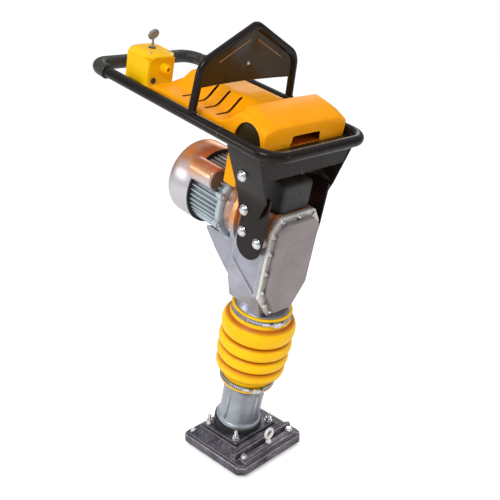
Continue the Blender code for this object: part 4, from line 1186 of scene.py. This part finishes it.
def make_guard_panel():
    """The sheet in the hoop, folded down its middle, with a hem below and a bead along its upper edges
    coloured as a painted reflection of the orange cover.
    """
    y, apex, radius = hoop_shape()
    low = span("guard_panel")[0].z
    edge, half_thick = radius - 0.0010, 0.0013
    upper = [(p.x, p.z) for p in resampled(hoop_path(edge), 0.008) if p.z > low + 0.004]
    bm = prism(upper + [(upper[-1][0], low), (upper[0][0], low)], "y", y - half_thick, y + half_thick)
    bisected(bm, (1, 0, 0), [0.0125 * k for k in range(-11, 12)])
    bisected(bm, (0, 0, 1), [0.996 + 0.0125 * k for k in range(10)])
    bmesh.ops.triangulate(bm, faces=bm.faces)

    def fold(x, z):
        """How far behind the hoop's plane the sheet lies: nothing at the tube, most at the middle line."""
        below = (apex - 0.010 - (apex - HOOP_KNEE) * abs(x) / 0.155) - z
        inside = clamped(below / 0.045) * clamped((0.150 - abs(x)) / 0.045)
        return 0.010 * inside * (1 - 0.75 * abs(x) / 0.145)

    for vert in bm.verts:
        vert.co.y += fold(vert.co.x, vert.co.z)
    half = abs(upper[0][0])
    hem = [Vector((-half + 0.004 + (2 * half - 0.008) * k / 40, y, low + 0.0012)) for k in range(41)]
    for p in hem:
        p.y += fold(p.x, p.z)
    parts = [(bm, PANEL), (sweep(hem, 0.0024, steps=10), PANEL)]
    # The beads carry a painted reflection of the orange cover
    for sign in (-1, 1):
        line = [p for p in resampled(hoop_path(edge + 0.016), 0.004) if p.z > 1.040 and sign * p.x > 0.012]
        for p in line:
            p.y += fold(p.x, p.z) - 0.0012
        parts.append((sweep(line, 0.0022, steps=10), COPPER_AND_PAINTED_REFLECTION))
    piece("hoop_panel", parts, "handle", "guard_panel", smooth=20)
    rivet_z = 1.030
    seat = at(0.0, y + fold(0, rivet_z) - 0.0016, rivet_z) @ AIM["-y"]
    fasteners("panel_rivet", [dome_bolt(0.0042, 0.0020, seat)], "handle")


# The sheet cover

COVER_THICK, COVER_ROUNDING = 0.0028, 0.0026


def cover_profile():
    """Along the cover: (y, height at the edge, rise to the middle, how far it is a block and not a hump)."""
    low, high = span("top_cover")
    front, rear, step = low.y, high.y, 0.335
    return [(front, 0.9535, 0.0065, 1.0), (front + 0.006, 0.9572, 0.0080, 1.0),
            (front + 0.040, 0.9697, 0.0110, 1.0), (front + 0.080, 0.9768, 0.0112, 1.0),
            (front + 0.087, 0.9752, 0.0112, 0.96),
            (front + 0.106, 0.9580, 0.0185, 0.6), (front + 0.126, 0.9415, 0.028, 0.2),
            (front + 0.146, 0.9345, 0.034, 0.0), (0.186, 0.9342, 0.035, 0.0), (step, 0.9335, 0.037, 0.0),
            (step + 0.012, 0.932, 0.016, 0.0), (rear, 0.930, 0.008, 0.0)]


def cover_rise(x, blockness):
    """Share of the rise at x: a smooth hump over the middle, or a flat block top with chamfered sides."""
    hump = clamped((0.090 - abs(x)) / 0.055)
    hump = hump * hump * (3 - 2 * hump)
    chamfer = clamped((0.132 - abs(x)) / 0.0215)
    return hump + blockness * (chamfer - hump)


def between(sections, y):
    """A smooth value between the sections, for each of their numbers after the first."""
    last = len(sections) - 1
    i = 0
    while i < last - 1 and sections[i + 1][0] < y:
        i += 1
    before, a, b, after = (sections[min(max(k, 0), last)] for k in (i - 1, i, i + 1, i + 2))
    run = b[0] - a[0]
    t = (y - a[0]) / run
    h = (2 * t ** 3 - 3 * t ** 2 + 1, t ** 3 - 2 * t ** 2 + t, 3 * t ** 2 - 2 * t ** 3, t ** 3 - t ** 2)
    values = []
    for n in range(1, len(a)):
        slope_a = (b[n] - before[n]) / max(b[0] - before[0], 1e-6) * run
        slope_b = (after[n] - a[n]) / max(after[0] - a[0], 1e-6) * run
        values.append(h[0] * a[n] + h[1] * slope_a + h[2] * b[n] + h[3] * slope_b)
    return values


def cover_arch(grow=0.0):
    """(y, z) of the arch through the cover's side, from its two feet."""
    y, half, rise = 0.028, 0.041 + grow, 0.048 + grow
    turns = [pi * i / 32 for i in range(33)]
    feet = [(y - half, 0.90), (y + half, 0.90)]
    return feet + [(y + half * cos(t), 0.915 + rise * sin(t)) for t in turns]


def cover_places(front, rear):
    """Where the cover's rings stand along it: close together at its rounded front and at its rear."""
    places = [front + COVER_ROUNDING * (1 - cos(radians(a))) for a in (0, 22, 45, 68, 90)]
    y = front + COVER_ROUNDING
    while y < rear - 0.008:
        y += 0.0055
        places.append(y)
    return places + [rear - 0.0040, rear - 0.0015, rear]


def cover_skin(bm, inset, index):
    """One skin of the cover as rings across it, from the right rim over the top to the left rim."""
    low, high = span("top_cover")
    front, rear, rim = low.y, high.y, low.z
    profile = cover_profile()
    rings = []
    for y in cover_places(front, rear):
        edge, crown, blockness = between(profile, y)
        drop = 0.0
        if y < front + COVER_ROUNDING:
            drop = COVER_ROUNDING * (1 - math.sqrt(max(0.0, 1 - (1 - (y - front) / COVER_ROUNDING) ** 2)))
        if y > rear - 0.004:
            drop = 0.0012 * ((y - rear + 0.004) / 0.004) ** 2
        half, top = high.x - inset - drop * 0.5, edge - inset - drop
        shoulder = 0.0080 - inset
        side = [(half, rim + (top - shoulder - rim) * k / 3) for k in range(3)]
        side += arc((half - shoulder, top - shoulder), shoulder, 0, 90, 8)
        points = list(side)
        for x in (-k * 0.0065 for k in range(-19, 20)):
            bow = 0.0012 * (1 - (x / 0.14) ** 2)
            points.append((x, top + crown * cover_rise(x, blockness) + bow))
        points += [(-x, z) for x, z in reversed(side)]
        place = min(max(y, front + inset), rear - inset)
        rings.append([bm.verts.new((x, place, z)) for x, z in points])
    made = [bm.faces.new((a[i], a[i + 1], b[i + 1], b[i])) for a, b in zip(rings, rings[1:])
            for i in range(len(a) - 1)]
    made += [bm.faces.new(rings[0]), bm.faces.new(rings[-1])]
    for face in made:
        face.material_index = index
    return [ring[0] for ring in rings] + [ring[-1] for ring in reversed(rings)]


def make_cover():
    """The bent sheet, with an arch in each side, a notch in front and four slots in its rear deck."""
    _, high = span("top_cover")
    bm = bmesh.new()
    outer, inner = cover_skin(bm, 0.0, 0), cover_skin(bm, COVER_THICK, 1)
    for i in range(len(outer)):
        j = (i + 1) % len(outer)
        bm.faces.new((outer[i], outer[j], inner[j], inner[i]))
    cuts = [prism(cover_arch(), "x", -0.2, -0.100), prism(cover_arch(), "x", 0.100, 0.2)]
    notch = [(-0.054, 0.90), (0.054, 0.90), (0.047, 0.937), (-0.047, 0.937)]
    cuts.append(prism(rounded(notch, [0, 0, 0.005, 0.005], 5), "y", -0.05, 0.0))
    for y in (0.148 + 0.040 * i for i in range(4)):
        slot = [(-0.121, y), (-0.044, y), (-0.044, y + 0.0078), (-0.121, y + 0.0078)]
        cuts.append(prism(rounded(slot, 0.0036, 4), "z", 0.915, 1.02))
    # The inner skin and the cut walls take the darkened orange that is painted shade
    piece("sheet_cover", [(bm, (YELLOW, INSIDE_PAINTED_SHADE))], "handle", "top_cover", smooth=24, cuts=cuts)
    lips = []
    for sign in (-1, 1):
        path = [Vector((sign * (high.x + 0.0006), y, z)) for y, z in cover_arch(0.0016)[2:]]
        ends = [Vector((p.x, p.y, 0.9125)) for p in (path[0], path[-1])]
        lips.append(sweep([ends[0]] + path + [ends[1]], 0.0024, steps=14))
    piece("cover_arch_lips", [(joined(lips), YELLOW)], "handle", smooth=60)


def make_cover_liner():
    """The sheet tray that closes the cover from below, with a dark side behind each arch."""
    low, high = span("cover_liner")
    cover_low, cover_high = span("top_cover")
    top, lip_y = cover_low.z - 0.0003, -0.0185
    arch = cover_arch(0.003)[2:]
    side = [(arch[0][0], top - 0.001), *arch, (arch[-1][0], top - 0.001)]
    sheets = [prism(side, "x", -0.1357, -0.1337), prism(side, "x", 0.1337, 0.1357)]
    lip = block(low, (high.x, lip_y, top))
    floor = block((low.x, lip_y, low.z), (high.x, high.y, top))
    tail = block((low.x, span("cover_crossbar")[1].y + 0.0003, low.z), (high.x, cover_high.y - 0.0015, top))
    # The lining under the notch takes the same painted shade
    lining = block((-0.128, -0.0165, top - 0.0002), (0.128, 0.072, top + 0.0016))
    parts = [(joined(sheets), PANEL), (lip, PANEL), (floor, TRAY), (tail, TRAY), (lining, INSIDE_PAINTED_SHADE)]
    piece("cover_tray", parts, "handle", "cover_liner", bevel=0.0004)


def make_crossbar():
    flat = block(*span("cover_crossbar"))
    piece("crossbar_flat", [(flat, BLACK)], "handle", "cover_crossbar", bevel=0.0012, segments=3)


# The switch box

def chamfered(centre, half_x, half_y, cut_off):
    """A rectangle with cut corners."""
    x, y = centre
    right = [(half_x - cut_off, -half_y), (half_x, cut_off - half_y), (half_x, half_y - cut_off),
             (half_x - cut_off, half_y)]
    return [(x + a, y + b) for a, b in right + [(-a, b) for a, b in reversed(right)]]


def four_corners(centre, half_x, half_y):
    return [(centre[0] + sx * half_x, centre[1] + sy * half_y) for sx in (-1, 1) for sy in (-1, 1)]


def make_switch_box():
    """The housing with its rounded corners and rim, the lid with its screws and collar, and the bracket."""
    low, high = span("switch_box")
    centre = middle(low, high)[:2]
    half_x, half_y = (high.x - low.x) / 2, (high.y - low.y) / 2
    body = prism(chamfered(centre, half_x, half_y, 0.008), "z", low.z, high.z)
    fused = [rod(0.0062, low.z + 0.001, high.z - 0.0002, (x, y, 0), "z", 28)
             for x, y in four_corners(centre, half_x - 0.0065, half_y - 0.0065)]
    rim = chamfered(centre, half_x + 0.0012, half_y + 0.0012, 0.009)
    fused.append(prism(rim, "z", high.z - 0.0065, high.z))
    piece("switch_housing", [(body, BOX_YELLOW)], "handle", "switch_box", smooth=30, bevel=0.0012, segments=3,
          fused=fused)
    low, high = span("switch_lid")
    half_x, half_y = (high.x - low.x) / 2, (high.y - low.y) / 2
    levels = [(low.z, 1.0), (low.z + 0.0065, 1.0), (high.z - 0.001, 0.74), (high.z, 0.71)]
    lid = loft([(z, chamfered(centre, half_x * k, half_y * k, 0.018 * k)) for z, k in levels])
    piece("switch_box_lid", [(lid, BOX_YELLOW)], "handle", "switch_lid", smooth=25, bevel=0.0016, segments=3)
    screws = [screw_head(0.0034, 0.0018, at(x, y, high.z - 0.0006), sunk=0.002)
              for x, y in four_corners(centre, half_x * 0.62, half_y * 0.62)]
    collar = turned([(0, 0), (0.0092, 0), (0.0092, 0.0016), (0.0080, 0.0024), (0, 0.0024)],
                    (*centre, high.z - 0.0003), steps=36)
    piece("lid_screws", [(joined(screws), STEEL), (collar, RUBBER)], "handle")
    piece("switch_bracket_flat", [(block(*span("switch_bracket")), BLACK)], "handle", "switch_bracket",
          bevel=0.0010, segments=3)


def make_gland():
    """The ribbed cable gland, and a blanking plug below it and to its right."""
    low, high = span("cable_gland")
    x, _, z = middle(low, high)
    wall, tip = high.y, low.y
    depth = wall - tip
    outline = [(0.0130, wall), (0.0130, wall - depth * 0.40), (0.0125, wall - depth * 0.45),
               (0.0098, wall - depth * 0.5), (0.0092, tip + 0.0010), (0.0085, tip), (0.0055, tip),
               (0.0045, tip + 0.001), (0.0045, wall)]
    gland = turned(outline, (x, 0, z), "y", 40)
    places = [polar((x, z), 0.0094, 30 * k) for k in range(12)]
    ridges = [rod(0.0009, tip + 0.0015, wall - depth * 0.5, (a, 0, b), "y", 8) for a, b in places]
    piece("gland_body", [(gland, BOX_YELLOW), (joined(ridges), BOX_YELLOW)], "handle", "cable_gland",
          smooth=40)
    plug = turned([(0, 0), (0.0072, 0), (0.0072, 0.0030), (0.0060, 0.0042), (0, 0.0042)], steps=32)
    piece("blanking_plug", [(moved(plug, at(x - 0.030, wall, z - 0.030) @ AIM["-y"]), RUBBER)], "handle",
          bevel=0.0003)


def make_knob():
    """The dial with its ribbed edge, tilted on its stem."""
    pivot = MACHINE.inverted() @ Vector(JOINTS["switch_turn"]["pos_m"])
    seat = Vector((pivot.x, pivot.y, span("switch_knob")[0].z))
    stem = turned([(0, 0), (0.0060, 0), (0.0062, 0.0008), (0.0060, 0.0036), (0.0034, 0.0058),
                   (0.0028, 0.0075), (0.0028, 0.0300), (0, 0.0300)], seat, steps=32)
    angles = [radians(a) for a in range(-70, 71, 14)]
    disc = [(0, -0.0040), (0.0112, -0.0040)]
    disc += [(0.0125 + 0.0020 * cos(a), 0.0038 * sin(a)) for a in angles]
    disc += [(0.0112, 0.0040), (0.0095, 0.0032), (0, 0.0030)]
    ribs = [rod(0.0010, -0.0026, 0.0026, (*polar((0, 0), 0.0140, 15 * k), 0), "z", 8) for k in range(24)]
    place = Matrix.Translation(seat + Vector((0, 0, 0.033))) @ turn(24, "X") @ AIM["y"]
    head = moved(joined([turned(disc, steps=56)] + ribs), place)
    piece("switch_dial", [(stem, GREY_PLASTIC), (head, GREY_PLASTIC)], "knob", "switch_knob", smooth=45)


# Looks for the CAD nodes that stay as they are

def paint_nodes():
    looks = {"leg_collar": RUBBER, "cooling_fan": RUBBER, "motor_stator": BAND}
    bare = ("spring_cylinder", "lower_spring", "upper_spring", "piston_rod", "rotor_shaft", "crank_gear",
            "connecting_rod")
    looks.update(dict.fromkeys(bare, STEEL))
    for node, look in looks.items():
        mesh = frame["nodes"][node].data
        mesh.materials.clear()
        mesh.materials.append(look.material)


# The studio

FLOOR_GLOW, WORLD_LIGHT, WORLD_LIFT, WORLD_IN_GLOSS = 0.36, 0.76, 0.28, 0.75
LAMPS = (("key", (-2.6, -0.8, 3.2), 1.3, 56, (1.0, 0.98, 0.95)),
         ("side", (-3.0, 1.8, 1.6), 1.2, 22, (0.92, 0.96, 1.0)),
         ("front", (1.6, -3.2, 1.6), 1.2, 8, (1.0, 0.96, 0.92)),
         ("rim", (2.6, 1.8, 2.4), 1.2, 12, (1.0, 0.97, 0.92)))


def make_floor():
    """A wide pale floor, a little brighter to the camera than to the object."""
    size = 60.0
    bm = bmesh.new()
    bm.faces.new([bm.verts.new((x * size, y * size, 0)) for x, y in ((-1, -1), (1, -1), (1, 1), (-1, 1))])
    mesh = bpy.data.meshes.new("floor")
    bm.to_mesh(mesh)
    bm.free()
    pale = Look("pale_floor", 0.6)
    pale.colour(pale.patches((3, 3), 0.3, 0.7, (0.90, 0.90, 0.90), (0.93, 0.93, 0.93)))
    pale.shader.inputs["Emission Color"].default_value = (1, 1, 1, 1)
    pale.shade("Emission Strength", pale.times(pale.node("LightPath").outputs["Is Camera Ray"], FLOOR_GLOW))
    mesh.materials.append(pale.material)
    floor = bpy.data.objects.new("floor", mesh)
    floor.location.z = -0.0005
    bpy.context.scene.collection.objects.link(floor)


def make_world():
    """An even white world, brighter to the camera, and dark below in reflections."""
    world = bpy.data.worlds.new("studio")
    world.use_nodes = True
    tree = world.node_tree
    tree.nodes.clear()
    place = add_node(tree, "TexCoord").outputs["Generated"]
    height = add_node(tree, "SeparateXYZ", {0: place}).outputs["Z"]
    fade = add_node(tree, "ValToRGB", {"Fac": height})
    below, above = fade.color_ramp.elements
    below.position, below.color = 0.0, (0.12, 0.12, 0.13, 1)
    above.position, above.color = 0.9, (0.95, 0.97, 1.0, 1)
    rays = add_node(tree, "LightPath").outputs
    strength = add_node(tree, "Math", {0: rays["Is Camera Ray"], 1: WORLD_LIFT, 2: WORLD_LIGHT},
                        operation="MULTIPLY_ADD").outputs[0]
    white = add_node(tree, "Background", {"Color": (1, 1, 1, 1), "Strength": strength}).outputs[0]
    shaded = {"Color": fade.outputs["Color"], "Strength": WORLD_IN_GLOSS}
    soft = add_node(tree, "Background", shaded).outputs[0]
    mixed = add_node(tree, "MixShader", {0: rays["Is Glossy Ray"], 1: white, 2: soft}).outputs[0]
    add_node(tree, "OutputWorld", {"Surface": mixed})
    bpy.context.scene.world = world
    bpy.context.scene.view_settings.view_transform = "Standard"


def make_lamps():
    """Soft square lamps, all aimed at the object's middle."""
    target = Vector((0, 0, 0.6))
    for name, place, size, power, colour in LAMPS:
        data = bpy.data.lights.new(name, "AREA")
        data.shape = "SQUARE"
        data.size, data.energy, data.color = size, power, colour
        lamp = bpy.data.objects.new(name, data)
        lamp.location = place
        lamp.rotation_euler = (target - Vector(place)).to_track_quat("-Z", "Y").to_euler()
        bpy.context.scene.collection.objects.link(lamp)


make_sole()
make_shoe()
make_toe_strap()
make_shoe_bolts()
make_stud_nuts()
make_eye()
make_leg()
make_bellows()
make_clamp("lower_hose_clamp", "lower_clamp", "ram", -28)
make_clamp("upper_hose_clamp", "upper_clamp", "upper_machine", -18)
make_crankcase()
make_front_cover()
make_gear_housing()
make_motor()
make_cowl()
make_capacitor()
make_terminal_box()
make_lower_plates()
make_side_bolts()
make_upper_plates()
make_braces()
make_handle()
make_grip()
make_hoop()
make_guard_panel()
make_cover()
make_cover_liner()
make_crossbar()
make_switch_box()
make_gland()
make_knob()
paint_nodes()
make_floor()
make_world()
make_lamps()
